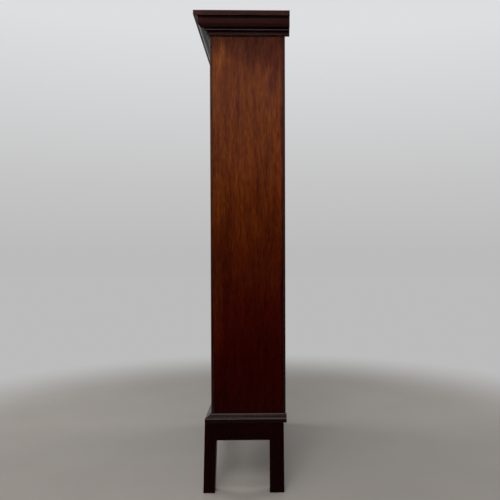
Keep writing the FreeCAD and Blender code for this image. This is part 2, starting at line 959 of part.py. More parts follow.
def lock_parts():
    """Lock of the right door: case, bolt, key and escutcheon, and the cuts in the stile."""
    x, z = key_place()
    case_front = door_front + lock_case_front
    case_back = door_back - lock_plate_thickness
    case = block(
        door_meeting,
        door_meeting + selvedge_thickness + lock_case_width,
        case_front,
        case_back,
        lock_height - lock_case_below,
        lock_height + lock_case_above,
    )
    low = lock_height - lock_case_below - lock_plate_margin
    high = lock_height + lock_case_above + lock_plate_margin
    plate = block(door_meeting, door_meeting + lock_plate_width, case_back, door_back, low, high)
    selvedge = block(
        door_meeting, door_meeting + selvedge_thickness, door_back - selvedge_width, door_back, low, high
    )
    outside = fused(case, plate, selvedge)
    bit_radius = key_shank_radius + key_bit_length
    pocket = rod(
        bore_radius(bit_radius + joint_clearance, barrel_sides),
        case_back - case_front - lock_wall,
        V(x, case_front + lock_wall, z),
        V(0, 1, 0),
        barrel_sides,
    )
    bolt_x = door_meeting + joint_clearance
    bolt_y = (case_front + lock_wall + case_back - lock_bolt_thickness) / 2
    bolt_z = lock_height + lock_bolt_offset - lock_bolt_height / 2
    bolt = block(
        bolt_x,
        bolt_x + lock_bolt_length,
        bolt_y,
        bolt_y + lock_bolt_thickness,
        bolt_z,
        bolt_z + lock_bolt_height,
    )
    bolt_way = block(
        door_meeting - overrun,
        bolt_x + lock_bolt_length + joint_clearance,
        bolt_y - joint_clearance,
        bolt_y + lock_bolt_thickness + joint_clearance,
        bolt_z - joint_clearance,
        bolt_z + lock_bolt_height + joint_clearance,
    )
    opening = keyhole(key_slot_gap, door_front - overrun, case_front + lock_wall + joint_clearance)
    lock_case = outside.cut([pocket, bolt_way, opening])

    bit_back = case_back - joint_clearance
    front = door_front - key_stand_off
    shank = rod(key_shank_radius, bit_back - front, V(x, front, z), V(0, 1, 0), barrel_sides)
    bit = block(
        x - key_bit_thickness / 2,
        x + key_bit_thickness / 2,
        bit_back - key_bit_width,
        bit_back,
        z - bit_radius,
        z,
    )
    collar = rod(
        key_collar_radius,
        key_collar_length,
        V(x, front + key_bow_overlap, z),
        V(0, 1, 0),
        barrel_sides,
    )
    bow_y = front + key_bow_overlap - key_bow_radius
    bow_x = x - key_bow_thickness / 2
    across = V(1, 0, 0)
    bow = rod(key_bow_radius, key_bow_thickness, V(bow_x, bow_y, z), across, bow_sides)
    bow_hole = rod(
        key_bow_hole_radius,
        key_bow_thickness + 2 * overrun,
        V(bow_x - overrun, bow_y, z),
        across,
        bow_sides,
    )
    bow = bow.cut(bow_hole)
    key = fused(shank, bit, collar, bow)

    half = escutcheon_width / 2
    straight = escutcheon_height / 2 - half
    middle = z - escutcheon_drop
    escutcheon = through(
        [
            (x + half, middle - straight),
            (x + half, middle + straight),
            arc((x, middle + straight), half, 0, 180),
            (x - half, middle - straight),
            arc((x, middle - straight), half, 180, 360),
        ],
        door_front - escutcheon_thickness,
        door_front,
    ).cut(keyhole(key_slot_gap, door_front - overrun, door_front + overrun))

    strike_low = bolt_z - strike_margin
    strike_high = bolt_z + lock_bolt_height + strike_margin
    strike = block(
        -door_meeting - lock_plate_thickness,
        -door_meeting,
        door_back - selvedge_width,
        door_back,
        strike_low,
        strike_high,
    )
    mortise = block(
        -door_meeting - lock_bolt_throw - lock_mortise_extra,
        -door_meeting + overrun,
        bolt_y - glass_clearance,
        bolt_y + lock_bolt_thickness + glass_clearance,
        bolt_z - glass_clearance,
        bolt_z + lock_bolt_height + glass_clearance,
    )
    parts = {
        "lock_case": lock_case,
        "lock_bolt": bolt,
        "key": key,
        "escutcheon": escutcheon,
        "strike_plate": strike.cut(mortise),
    }
    return parts, [outside, opening], [strike, mortise]


def bolt_places():
    """The left door's top and bottom bolts: x, y, the z of the door's end, and the way the bolt shoots."""
    x = -door_meeting - door_bolt_inset
    y = door_back + bolt_plate_thickness + bolt_stand_off
    return ((x, y, door_high, 1), (x, y, door_low, -1))


def door_bolt(x, y, end, sign):
    """One barrel bolt behind the left door: its plate with two guides, and the sliding rod with a knob."""
    way = V(0, 0, sign)

    def along(place, length, x0, x1, y0, y1):
        z0 = end - sign * place
        z1 = z0 - sign * length
        return block(x0, x1, y0, y1, min(z0, z1), max(z0, z1))

    half = bolt_plate_width / 2
    plate_rear = door_back + bolt_plate_thickness
    plate = along(bolt_plate_end, bolt_plate_length, x - half, x + half, door_back, plate_rear)
    guide_half = bolt_guide_width / 2
    guide_rear = y + door_bolt_radius + bolt_guide_wall
    guides = [
        along(place, bolt_guide_length, x - guide_half, x + guide_half, door_back, guide_rear)
        for place in (bolt_plate_end, bolt_plate_end + bolt_plate_length - bolt_guide_length)
    ]
    bore = rod(
        door_bolt_radius + running_clearance,
        bolt_plate_length + 2 * overrun,
        V(x, y, end - sign * (bolt_plate_end + bolt_plate_length + overrun)),
        way,
        barrel_sides,
    )
    carrier = fused(plate, *guides).cut(bore)
    start = end - sign * (door_bolt_end_gap + door_bolt_length + door_bolt_throw)
    slider = rod(
        door_bolt_radius, door_bolt_length + door_bolt_throw, V(x, y, start), way, barrel_sides
    )
    knob_z = end - sign * (bolt_plate_end + bolt_knob_place + bolt_guide_length + bolt_knob_radius)
    knob = rod(bolt_knob_radius, bolt_knob_length, V(x, y, knob_z), V(0, 1, 0), barrel_sides)
    return carrier, fused(slider, knob)


def meeting_bead():
    """The half-round bead on the right door's closing edge."""
    middle = door_meeting + meeting_bead_width / 2
    plan = [
        (door_meeting, door_front),
        ((middle, door_front - meeting_bead_height), (door_meeting + meeting_bead_width, door_front)),
    ]
    return upright(plan, door_low, door_high)


def doors():
    """Both doors with their hinges, the right one's lock and the left one's bolts."""
    parts = {}
    frame = door_frame()
    bars = astragal_bars()
    panes = glass_panes()
    fillets = putty(panes)
    carcase_leaves, door_leaves, pins = hinges()
    lock, right_cuts, left_cuts = lock_parts()
    for name, shape in frame.items():
        parts["right_door_" + name] = shape
        parts["left_door_" + name] = mirrored(shape)
    parts["right_door_meeting_stile"] = parts["right_door_meeting_stile"].cut(right_cuts)
    parts["left_door_meeting_stile"] = parts["left_door_meeting_stile"].cut(left_cuts)
    for name, shape in (("astragal_bars", bars), ("glass_panes", panes), ("putty", fillets)):
        parts["right_door_" + name] = shape
        parts["left_door_" + name] = mirrored(shape)
    parts["right_door_hinge_leaves"] = door_leaves
    parts["left_door_hinge_leaves"] = mirrored(door_leaves)
    parts["carcase_hinge_leaves"] = Part.makeCompound(carcase_leaves.Solids + mirrored(carcase_leaves).Solids)
    parts["hinge_pins"] = Part.makeCompound(pins.Solids + mirrored(pins).Solids)
    parts.update(lock)
    parts["meeting_bead"] = meeting_bead()
    carriers = []
    for name, place in zip(("top_door_bolt", "bottom_door_bolt"), bolt_places()):
        carrier, slider = door_bolt(*place)
        carriers.append(carrier)
        parts[name] = slider
    parts["door_bolt_plates"] = Part.makeCompound(carriers)
    return parts


def main():
    """Builds every piece and writes one file for each."""
    os.makedirs("parts", exist_ok=True)
    parts = {}
    for group in (stand(), carcase(), cornice(), doors()):
        parts.update(group)
    for name, shape in parts.items():
        if not shape.isValid() or shape.Volume <= 0:
            print("check", name, shape.isValid(), shape.Volume)
        shape.exportStep("parts/" + name + ".step")
    print(len(parts), "nodes,", sum(len(shape.Solids) for shape in parts.values()), "solids")


main()
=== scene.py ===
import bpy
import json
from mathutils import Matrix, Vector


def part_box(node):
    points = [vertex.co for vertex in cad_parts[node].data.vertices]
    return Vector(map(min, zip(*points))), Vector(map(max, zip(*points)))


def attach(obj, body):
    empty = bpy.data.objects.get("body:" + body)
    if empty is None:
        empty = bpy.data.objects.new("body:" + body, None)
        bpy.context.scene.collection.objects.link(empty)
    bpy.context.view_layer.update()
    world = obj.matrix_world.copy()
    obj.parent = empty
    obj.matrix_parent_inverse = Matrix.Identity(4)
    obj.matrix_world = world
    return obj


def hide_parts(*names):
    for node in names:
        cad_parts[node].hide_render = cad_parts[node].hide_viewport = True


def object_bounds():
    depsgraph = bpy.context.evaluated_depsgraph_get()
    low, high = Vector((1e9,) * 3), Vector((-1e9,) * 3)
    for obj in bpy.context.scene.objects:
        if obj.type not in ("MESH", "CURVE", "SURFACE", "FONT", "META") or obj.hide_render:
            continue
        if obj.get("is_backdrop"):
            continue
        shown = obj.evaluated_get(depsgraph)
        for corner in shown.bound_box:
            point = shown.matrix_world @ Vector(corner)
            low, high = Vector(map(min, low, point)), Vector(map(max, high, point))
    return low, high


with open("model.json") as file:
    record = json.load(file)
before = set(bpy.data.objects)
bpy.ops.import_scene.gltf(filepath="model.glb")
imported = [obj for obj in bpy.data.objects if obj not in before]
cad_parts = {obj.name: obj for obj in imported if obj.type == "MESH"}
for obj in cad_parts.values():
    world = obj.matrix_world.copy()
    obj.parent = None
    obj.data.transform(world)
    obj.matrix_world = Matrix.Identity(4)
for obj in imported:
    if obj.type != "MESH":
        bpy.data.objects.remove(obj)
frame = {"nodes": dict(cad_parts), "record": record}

"""Looks of a tall mahogany display cabinet with glazed doors: timber, brass, glass, light and camera.

Metres, +Z up, the doors face -Y, the origin is on the floor in the middle of the footprint. The woodwork
is an eased copy of the frame's nodes, so each arris is rounded and the grain runs along each board."""

import json
import logging
import math
from collections.abc import Iterator
from contextlib import contextmanager
from dataclasses import dataclass, field, replace
from enum import Enum
from functools import cache

import bmesh
import bpy
from mathutils import Matrix, Vector

log = logging.getLogger("cabinet")

Triple = tuple[float, float, float]
Colour = Triple
Stops = tuple[tuple[float, Colour], ...]
Profile = tuple[tuple[float, float], ...]
Place = tuple[Vector, Vector]
Piece = bpy.types.Object
Socket = bpy.types.NodeSocket
MM = 0.001
BODIES: dict[str, list[str]] = frame["record"]["behaviour"]["bodies"]


class Axis(Enum):
    """A straight direction in the cabinet's frame."""

    LEFT = (-1, 0, 0)
    RIGHT = (1, 0, 0)
    FRONT = (0, -1, 0)
    BACK = (0, 1, 0)
    UP = (0, 0, 1)

    @property
    def way(self) -> Vector:
        """The direction as a vector."""
        return Vector(self.value)


class GrainBy(Enum):
    """How a piece's grain is told from its mesh."""

    BOARD = "board"
    FACE = "face"


def body_of(node: str) -> str:
    """Name of the body that carries a node."""
    return next(body for body, nodes in BODIES.items() if node in nodes)


def names(heads: str, tails: str) -> tuple[str, ...]:
    """Names of nodes: each head with each tail, from two lists divided by blanks."""
    return tuple(head + "_" + tail for head in heads.split() for tail in tails.split())


def pick(*pieces: Piece) -> None:
    """Selects these pieces alone and makes the first one active.

    Args:
        pieces: The pieces.
    """
    bpy.ops.object.select_all(action="DESELECT")
    for piece in pieces:
        piece.select_set(True)
    bpy.context.view_layer.objects.active = pieces[0]


@contextmanager
def editing(piece: Piece) -> Iterator[None]:
    """Opens one piece in edit mode with all of it selected, and closes it afterwards.

    Args:
        piece: The piece to shape.
    """
    pick(piece)
    bpy.ops.object.mode_set(mode="EDIT")
    bpy.ops.mesh.select_mode(type="FACE")
    bpy.ops.mesh.select_all(action="SELECT")
    try:
        yield
    finally:
        bpy.ops.object.mode_set(mode="OBJECT")


class Nodes:
    """Shader nodes of one tree, joined step by step."""

    def __init__(self, tree: bpy.types.NodeTree) -> None:
        """Starts with the nodes that the tree has."""
        self.tree = tree

    def node(self, kind: str, inputs: dict, **settings: object) -> bpy.types.Node:
        """Adds a node.

        Args:
            kind: The node's type, without its ShaderNode prefix.
            inputs: A value or an output socket for each input, by name or place.
            settings: The node's own settings.

        Returns:
            The new node.
        """
        node = self.tree.nodes.new("ShaderNode" + kind)
        for name, value in settings.items():
            setattr(node, name, value)
        for name, value in inputs.items():
            self.plug(node.inputs[name], value)
        return node

    def plug(self, socket: Socket, value: object) -> None:
        """Links an output to a socket, or sets its value.

        Args:
            socket: The input socket.
            value: An output socket or a value.
        """
        if isinstance(value, Socket):
            self.tree.links.new(value, socket)
        else:
            socket.default_value = value

    def place(self) -> Socket:
        """Coordinates on the piece itself, in metres."""
        return self.node("TexCoord", {}).outputs["Object"]

    def part(self, axis: str, vector: Socket | None = None) -> Socket:
        """One coordinate of a vector, or else of the place on the piece."""
        return self.node("SeparateXYZ", {0: self.place() if vector is None else vector}).outputs[axis]

    def noise(
        self, vector: Socket, scale: Triple, detail: float, roughness: float = 0.5, distortion: float = 0.0
    ) -> Socket:
        """Noise between 0 and 1.

        Args:
            vector: Coordinates in metres.
            scale: Waves per metre along, across and through the grain.
            detail: Octaves.
            roughness: Weight of the finer octaves.
            distortion: How far the pattern is drawn out of line.

        Returns:
            The value socket.
        """
        inputs = {
            "Vector": self.node("Mapping", {"Vector": vector, "Scale": scale}).outputs["Vector"],
            "Scale": 1.0,
            "Detail": detail,
            "Roughness": roughness,
            "Distortion": distortion,
        }
        return self.node("TexNoise", inputs).outputs["Fac"]

    def maths(self, operation: str, first: object, second: object = 0.0) -> Socket:
        """One step of arithmetic, by its name, on numbers or sockets."""
        return self.node("Math", {0: first, 1: second}, operation=operation).outputs[0]

    def total(self, *terms: tuple[Socket, float], base: float = 0.0) -> Socket:
        """A weighted sum.

        Args:
            terms: Each value with its weight.
            base: What the sum starts from.

        Returns:
            The value socket.
        """
        result: object = base
        for value, weight in terms:
            inputs = {0: value, 1: weight, 2: result}
            result = self.node("Math", inputs, operation="MULTIPLY_ADD").outputs[0]
        return result

    def span(
        self, value: object, low: float, high: float, new_low: float = 0.0, new_high: float = 1.0
    ) -> Socket:
        """Maps the range from low to high onto the new one, smoothly and clamped."""
        inputs = {0: value, 1: low, 2: high, 3: new_low, 4: new_high}
        return self.node("MapRange", inputs, interpolation_type="SMOOTHSTEP").outputs[0]

    def ramp(self, value: Socket, stops: Stops) -> Socket:
        """Colours along a value.

        Args:
            value: The socket that picks the colour.
            stops: Place and colour of each stop.

        Returns:
            The colour socket.
        """
        node = self.node("ValToRGB", {0: value})
        elements = node.color_ramp.elements
        while len(elements) < len(stops):
            elements.new(0.5)
        for element, (place, colour) in zip(elements, stops):
            element.position = place
            element.color = (*colour, 1.0)
        return node.outputs["Color"]

    def mix(self, factor: object, first: object, second: object, blend: str = "MIX") -> Socket:
        """Two colours mixed.

        Args:
            factor: Share of the second.
            first: A colour or a socket.
            second: A colour or a socket.
            blend: How they are mixed.

        Returns:
            The colour socket.
        """
        first, second = ((*c, 1.0) if isinstance(c, tuple) else c for c in (first, second))
        node = self.node("Mix", {0: factor, 6: first, 7: second}, data_type="RGBA", blend_type=blend)
        return node.outputs[2]


class Recipe(Nodes):
    """Nodes of one finish, round its Principled shader."""

    def __init__(self, name: str) -> None:
        """Starts a material.

        Args:
            name: Its name.
        """
        self.material = bpy.data.materials.new(name)
        self.material.use_nodes = True
        super().__init__(self.material.node_tree)
        self.shader = self.tree.nodes["Principled BSDF"]

    def grain(self, axis: Axis | None = None) -> Socket:
        """Coordinates in metres along, across and through a board.

        Args:
            axis: The grain's direction where the piece has no grain attribute of its own.

        Returns:
            The vector socket.
        """
        if axis is None:
            return self.node("Attribute", {}, attribute_name="grain").outputs["Vector"]
        turn = Vector((1, 0, 0)).rotation_difference(axis.way).inverted().to_euler()
        return self.node("Mapping", {"Vector": self.place(), "Rotation": turn}).outputs["Vector"]

    def bump(self, height: Socket, depth: float, strength: float = 1.0) -> None:
        """Gives the shader a bump of that depth in metres, from a height between 0 and 1."""
        inputs = {"Height": height, "Distance": depth, "Strength": strength}
        self.plug(self.shader.inputs["Normal"], self.node("Bump", inputs).outputs["Normal"])

    def fill(self, **sockets: object) -> None:
        """Fills the shader's sockets.

        Args:
            sockets: Values or sockets, with underscores for the spaces in their names.
        """
        for name, value in sockets.items():
            value = (*value, 1.0) if isinstance(value, tuple) and len(value) == 3 else value
            self.plug(self.shader.inputs[name.replace("_", " ")], value)


@dataclass(frozen=True)
class Finish:
    """A finish, whose material is made once.

    Attributes:
        name: The material's name.
    """

    name: str

    @cache
    def material(self) -> bpy.types.Material:
        """The finish as a material."""
        recipe = Recipe(self.name)
        self.compose(recipe)
        return recipe.material

    def compose(self, recipe: Recipe) -> None:
        """Composes the material's nodes; each finish has its own."""
        raise NotImplementedError


@dataclass(frozen=True)
class Patch:
    """One patch on a panel, of figure or of painted shade: a soft, feathered ellipse that tints the timber.

    Attributes:
        y: Its middle, front to back.
        z: Its middle height.
        half_width: Half its width.
        half_height: Half its height.
        lean: Angle from upright in degrees, top towards the back.
        tint: Share of each colour that it keeps.
        weight: How strongly it tints.
        feathers: Feathers of its edge per metre, in each direction.
        drift: How far the feathers reach.
        through: Half its depth through the panel, which has it on both faces.
    """

    y: float
    z: float
    half_width: float
    half_height: float
    lean: float
    tint: Colour
    weight: float
    feathers: Triple = (1.0, 70.0, 6.0)
    drift: Triple = (0.0, 0.02, 0.16)
    through: float = 1000.0


# Painted shade: share of its colour that the timber keeps at each height, from the floor up to the cabinet's
# top, darker towards the floor and under the cornice
SHADING: Stops = (
    (0.17, (0.135, 0.010, 0.004)),
    (0.28, (0.185, 0.023, 0.006)),
    (0.39, (0.265, 0.075, 0.060)),
    (0.50, (0.41, 0.21, 0.11)),
    (0.61, (0.68, 0.49, 0.235)),
    (0.72, (0.85, 0.78, 0.60)),
    (0.83, (0.81, 0.80, 0.74)),
    (0.94, (0.65, 0.60, 0.55)),
)


@dataclass(frozen=True)
class Line:
    """A level line along a moulding, of another colour: a painted highlight or painted shade.

    Attributes:
        height: Height of its middle above the floor.
        half: Half its height.
        colour: Its colour.
        share: How much of that colour it takes.
        edge: Where its soft edge starts and ends, as shares of half its height.
    """

    height: float
    half: float
    colour: Colour
    share: float
    edge: tuple[float, float] = (1.3, 0.5)

    def draw(self, recipe: Recipe, below: Socket) -> Socket:
        """Draws the line over a colour.

        Args:
            recipe: The material's recipe.
            below: The colour below.

        Returns:
            The colour socket.
        """
        off = recipe.maths("ABSOLUTE", recipe.maths("SUBTRACT", recipe.part("Z"), self.height))
        outer, inner = (share * self.half for share in self.edge)
        amount = recipe.span(off, outer, inner, 0.0, self.share)
        return recipe.mix(amount, below, self.colour)


@dataclass(frozen=True)
class Mahogany(Finish):
    """Polished mahogany: ribbon figure, fine fibres and short dark pores, with painted shade that darkens it
    towards the floor.

    Attributes:
        dark: Colour of the dark ribbons.
        middle: Its main colour.
        light: Colour of the light ribbons.
        worn: Colour of the rubbed arrises, which on the mouldings is also a painted highlight.
        wear: How much of an arris is rubbed.
        roughness: Roughness of the polish.
        specular: Strength of the polish's reflection.
        ribbon: Ribbons per metre across the grain.
        swell: How far the surface is out of true, as so many pores' depths.
        pore_depth: Depth of the pores.
        shade: Share of the painted shade towards the floor that it takes.
        lines: Level lines, painted highlights on noses and painted shade in hollows and under noses.
        patches: Patches of figure, and on the panel also of painted shade.
    """

    dark: Colour
    middle: Colour
    light: Colour
    worn: Colour = (0.13, 0.05, 0.03)
    wear: float = 0.45
    roughness: float = 0.27
    specular: float = 0.3
    ribbon: float = 70.0
    swell: float = 9.0
    pore_depth: float = 0.04 * MM
    shade: float = 1.0
    lines: tuple[Line, ...] = ()
    patches: tuple[Patch, ...] = ()

    def compose(self, recipe: Recipe) -> None:
        """Composes the timber's nodes.

        Args:
            recipe: The material's recipe.
        """
        grain = recipe.grain()
        broad = recipe.noise(grain, (1.8, 12.0, 12.0), detail=4.0, roughness=0.6, distortion=0.5)
        wide, fine = self.ribbon, 2.6 * self.ribbon
        ribbon = recipe.noise(grain, (5.0, wide, wide), detail=5.0, roughness=0.68, distortion=0.3)
        streak = recipe.noise(grain, (34.0, fine, fine), detail=4.0, roughness=0.62, distortion=0.3)
        fibre = recipe.noise(grain, (24.0, 700.0, 700.0), detail=2.0)
        pores = recipe.span(recipe.noise(grain, (150.0, 1800.0, 1800.0), detail=1.0), 0.60, 0.72)
        tone = recipe.total((broad, 0.28), (ribbon, 0.26), (streak, 0.34), (fibre, 0.12))
        colour = recipe.ramp(tone, ((0.42, self.dark), (0.50, self.middle), (0.59, self.light)))
        for figure in self.patches:
            colour = self.figured(recipe, colour, figure)
        colour = recipe.mix(recipe.maths("MULTIPLY", pores, 0.45), colour, self.dark)
        # Painted shade: darker towards the floor and under the cornice
        colour = recipe.mix(self.shade, colour, self.shading(recipe), "MULTIPLY")
        # Rubbed arrises; on the mouldings their paler colour is also a painted highlight
        arris = recipe.node("Attribute", {}, attribute_name="arris").outputs["Fac"]
        rubbed = recipe.span(recipe.noise(grain, (14.0, 60.0, 60.0), detail=2.0), 0.35, 0.7, 0.0, self.wear)
        colour = recipe.mix(recipe.maths("MULTIPLY", arris, rubbed), colour, self.worn)
        # Painted highlights and painted shade along the mouldings
        for line in self.lines:
            colour = line.draw(recipe, colour)
        cloud = recipe.noise(grain, (7.0, 12.0, 12.0), detail=3.0)
        sheen = recipe.total((cloud, 0.16), (pores, 0.15), base=self.roughness - 0.08)
        swell = recipe.noise(grain, (5.0, 16.0, 16.0), detail=1.0)
        height = recipe.total((fibre, 0.10), (pores, -1.0), (swell, self.swell))
        recipe.bump(height, self.pore_depth)
        recipe.fill(Base_Color=colour, Roughness=sheen, Specular_IOR_Level=self.specular)

    @staticmethod
    def shading(recipe: Recipe) -> Socket:
        """Painted shade that darkens the timber towards the floor, as a colour to multiply by."""
        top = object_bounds()[1].z
        return recipe.ramp(recipe.maths("DIVIDE", recipe.part("Z"), top), SHADING)

    @staticmethod
    def figured(recipe: Recipe, colour: Socket, figure: Patch) -> Socket:
        """Lays one patch, of figure or of painted shade, over a colour.

        Args:
            recipe: The material's recipe.
            colour: The colour below.
            figure: The patch.

        Returns:
            The colour socket.
        """
        place = recipe.place()
        streaks = recipe.node("Mapping", {"Vector": place, "Scale": figure.feathers}).outputs["Vector"]
        drift = recipe.node("TexNoise", {"Vector": streaks, "Scale": 1.0, "Detail": 3.0}).outputs["Color"]
        for operation, other in (("SUBTRACT", (0.5,) * 3), ("MULTIPLY", figure.drift), ("ADD", place)):
            drift = recipe.node("VectorMath", {0: drift, 1: other}, operation=operation).outputs[0]
        inputs = {
            "Vector": drift,
            "Location": (0.0, figure.y, figure.z),
            "Rotation": (math.radians(-figure.lean), 0.0, 0.0),
            "Scale": (figure.through, figure.half_width, figure.half_height),
        }
        local = recipe.node("Mapping", inputs, vector_type="TEXTURE").outputs["Vector"]
        spot = recipe.node("TexGradient", {"Vector": local}, gradient_type="SPHERICAL").outputs["Fac"]
        share = recipe.span(spot, 0.0, 0.9, 0.0, figure.weight)
        return recipe.mix(share, colour, figure.tint, "MULTIPLY")


@dataclass(frozen=True)
class Softwood(Finish):
    """Planed softwood, stained and dusty: growth rings, a few knots and a matt surface.

    Attributes:
        early: Colour between the rings.
        late: Colour of the rings.
        axis: The grain's direction on a piece that has no grain attribute.
        rings: Angle of the rings' wave per metre, in radians.
        ring_depth: How far the rings stand out.
        dirt: Colour of the dirt.
        stain: Colour of the stain on the outer edges, which match the sides.
        stained_from: Distance of those edges from the cabinet's middle.
    """

    early: Colour
    late: Colour
    axis: Axis | None = None
    rings: float = 950.0
    ring_depth: float = 0.1 * MM
    dirt: Colour = (0.05, 0.035, 0.025)
    stain: Colour = (0.022, 0.008, 0.006)
    stained_from: float = 0.3535

    def compose(self, recipe: Recipe) -> None:
        """Composes the timber's nodes.

        Args:
            recipe: The material's recipe.
        """
        grain = recipe.grain(self.axis)
        drift = recipe.noise(grain, (3.0, 14.0, 14.0), detail=2.0)
        across = recipe.total((drift, 0.06), (recipe.part("Y", grain), 1.0))
        rings = recipe.maths("SINE", recipe.maths("MULTIPLY", across, self.rings))
        rings = recipe.span(rings, -0.2, 1.0)
        fibre = recipe.noise(grain, (30.0, 900.0, 900.0), detail=2.0)
        cloud = recipe.noise(grain, (2.0, 9.0, 9.0), detail=4.0)
        colour = recipe.mix(recipe.maths("MULTIPLY", rings, 0.55), self.early, self.late)
        colour = recipe.mix(recipe.span(cloud, 0.35, 0.75, 0.0, 0.5), colour, self.late)
        colour = recipe.mix(recipe.maths("MULTIPLY", fibre, 0.25), colour, self.late)
        dirt = recipe.noise(grain, (11.0, 13.0, 13.0), detail=5.0, roughness=0.65)
        colour = recipe.mix(recipe.span(dirt, 0.52, 0.78, 0.0, 0.5), colour, self.dirt)
        side = recipe.maths("ABSOLUTE", recipe.part("X"))
        outer = recipe.maths("GREATER_THAN", side, self.stained_from)
        # The stained outer edges take the painted shade too, darker towards the floor
        stained = recipe.mix(1.0, self.stain, Mahogany.shading(recipe), "MULTIPLY")
        colour = recipe.mix(recipe.maths("MULTIPLY", outer, 0.95), colour, stained)
        rough = recipe.span(fibre, 0.2, 0.8, 0.62, 0.85)
        recipe.bump(recipe.total((fibre, 0.6), (rings, 1.0)), self.ring_depth, 0.7)
        recipe.fill(Base_Color=colour, Roughness=rough, Specular_IOR_Level=0.15)


@dataclass(frozen=True)
class Metal(Finish):
    """Old metal: bright where it is handled, dull and brown elsewhere, with fine scratches.

    Attributes:
        bright: Colour of the clean metal.
        dull: Colour of the tarnish.
        tarnish: How much of it is tarnished.
        roughness: Roughness of the clean metal.
        dulled: How much rougher the tarnish is.
        scratch_depth: Depth of the scratches.
    """

    bright: Colour
    dull: Colour
    tarnish: float
    roughness: float
    dulled: float = 0.28
    scratch_depth: float = 0.02 * MM

    def compose(self, recipe: Recipe) -> None:
        """Composes the metal's nodes.

        Args:
            recipe: The material's recipe.
        """
        place = recipe.place()
        cloud = recipe.noise(place, (90.0,) * 3, detail=5.0, roughness=0.65)
        spots = recipe.noise(place, (600.0,) * 3, detail=2.0)
        scratches = recipe.noise(place, (300.0, 4000.0, 900.0), detail=1.0)
        tarnished = recipe.span(cloud, 0.62 - self.tarnish, 0.80 - self.tarnish * 0.5, 0.15, 0.95)
        colour = recipe.mix(tarnished, self.bright, self.dull)
        colour = recipe.mix(recipe.span(spots, 0.62, 0.75, 0.0, 0.6), colour, self.dull)
        rough = recipe.span(cloud, 0.3, 0.8, self.roughness, self.roughness + self.dulled)
        recipe.bump(recipe.total((spots, 0.8), (scratches, 1.0)), self.scratch_depth, 0.6)
        recipe.fill(Base_Color=colour, Roughness=rough, Metallic=1.0)


@dataclass(frozen=True)
class Glass(Finish):
    """Old drawn glass, faintly wavy and not quite clean.

    Attributes:
        tint: Colour of the glass.
        haze: Its colour where it is not clean.
        body: Share of the light that bends and mirrors in it; the rest goes straight through.
        index: Refractive index of that share.
        wave_depth: How far its faces are out of true.
    """

    tint: Colour
    haze: Colour = (0.90, 0.93, 0.91)
    body: float = 0.22
    index: float = 1.8
    wave_depth: float = 0.3 * MM

    def compose(self, recipe: Recipe) -> None:
        """Composes the glass's nodes.

        Args:
            recipe: The material's recipe.
        """
        place = recipe.place()
        waves = recipe.noise(place, (9.0, 9.0, 16.0), detail=1.0, roughness=0.4, distortion=0.6)
        haze = recipe.noise(place, (25.0, 25.0, 12.0), detail=4.0, roughness=0.6)
        colour = recipe.mix(recipe.span(haze, 0.4, 0.8), self.tint, self.haze)
        recipe.bump(waves, self.wave_depth, 0.5)
        rough = recipe.span(haze, 0.55, 0.8, 0.0, 0.010)
        recipe.fill(Base_Color=colour, Roughness=rough)
        recipe.fill(Transmission_Weight=1.0, IOR=self.index, Alpha=self.body)


@dataclass(frozen=True)
class Putty(Finish):
    """Hard putty, stained to match the timber and marked by the knife.

    Attributes:
        colour: Its main colour.
        pale: Colour where the stain has gone.
        mark_depth: Depth of the knife's marks.
    """

    colour: Colour
    pale: Colour
    mark_depth: float = 0.2 * MM

    def compose(self, recipe: Recipe) -> None:
        """Composes the putty's nodes.

        Args:
            recipe: The material's recipe.
        """
        place = recipe.place()
        cloud = recipe.noise(place, (60.0,) * 3, detail=4.0, roughness=0.6)
        marks = recipe.noise(place, (400.0, 400.0, 90.0), detail=3.0)
        colour = recipe.mix(recipe.span(cloud, 0.45, 0.8), self.colour, self.pale)
        recipe.bump(recipe.maths("ADD", marks, cloud), self.mark_depth, 0.8)
        rough = recipe.span(marks, 0.3, 0.7, 0.55, 0.8)
        recipe.fill(Base_Color=colour, Roughness=rough, Specular_IOR_Level=0.3)


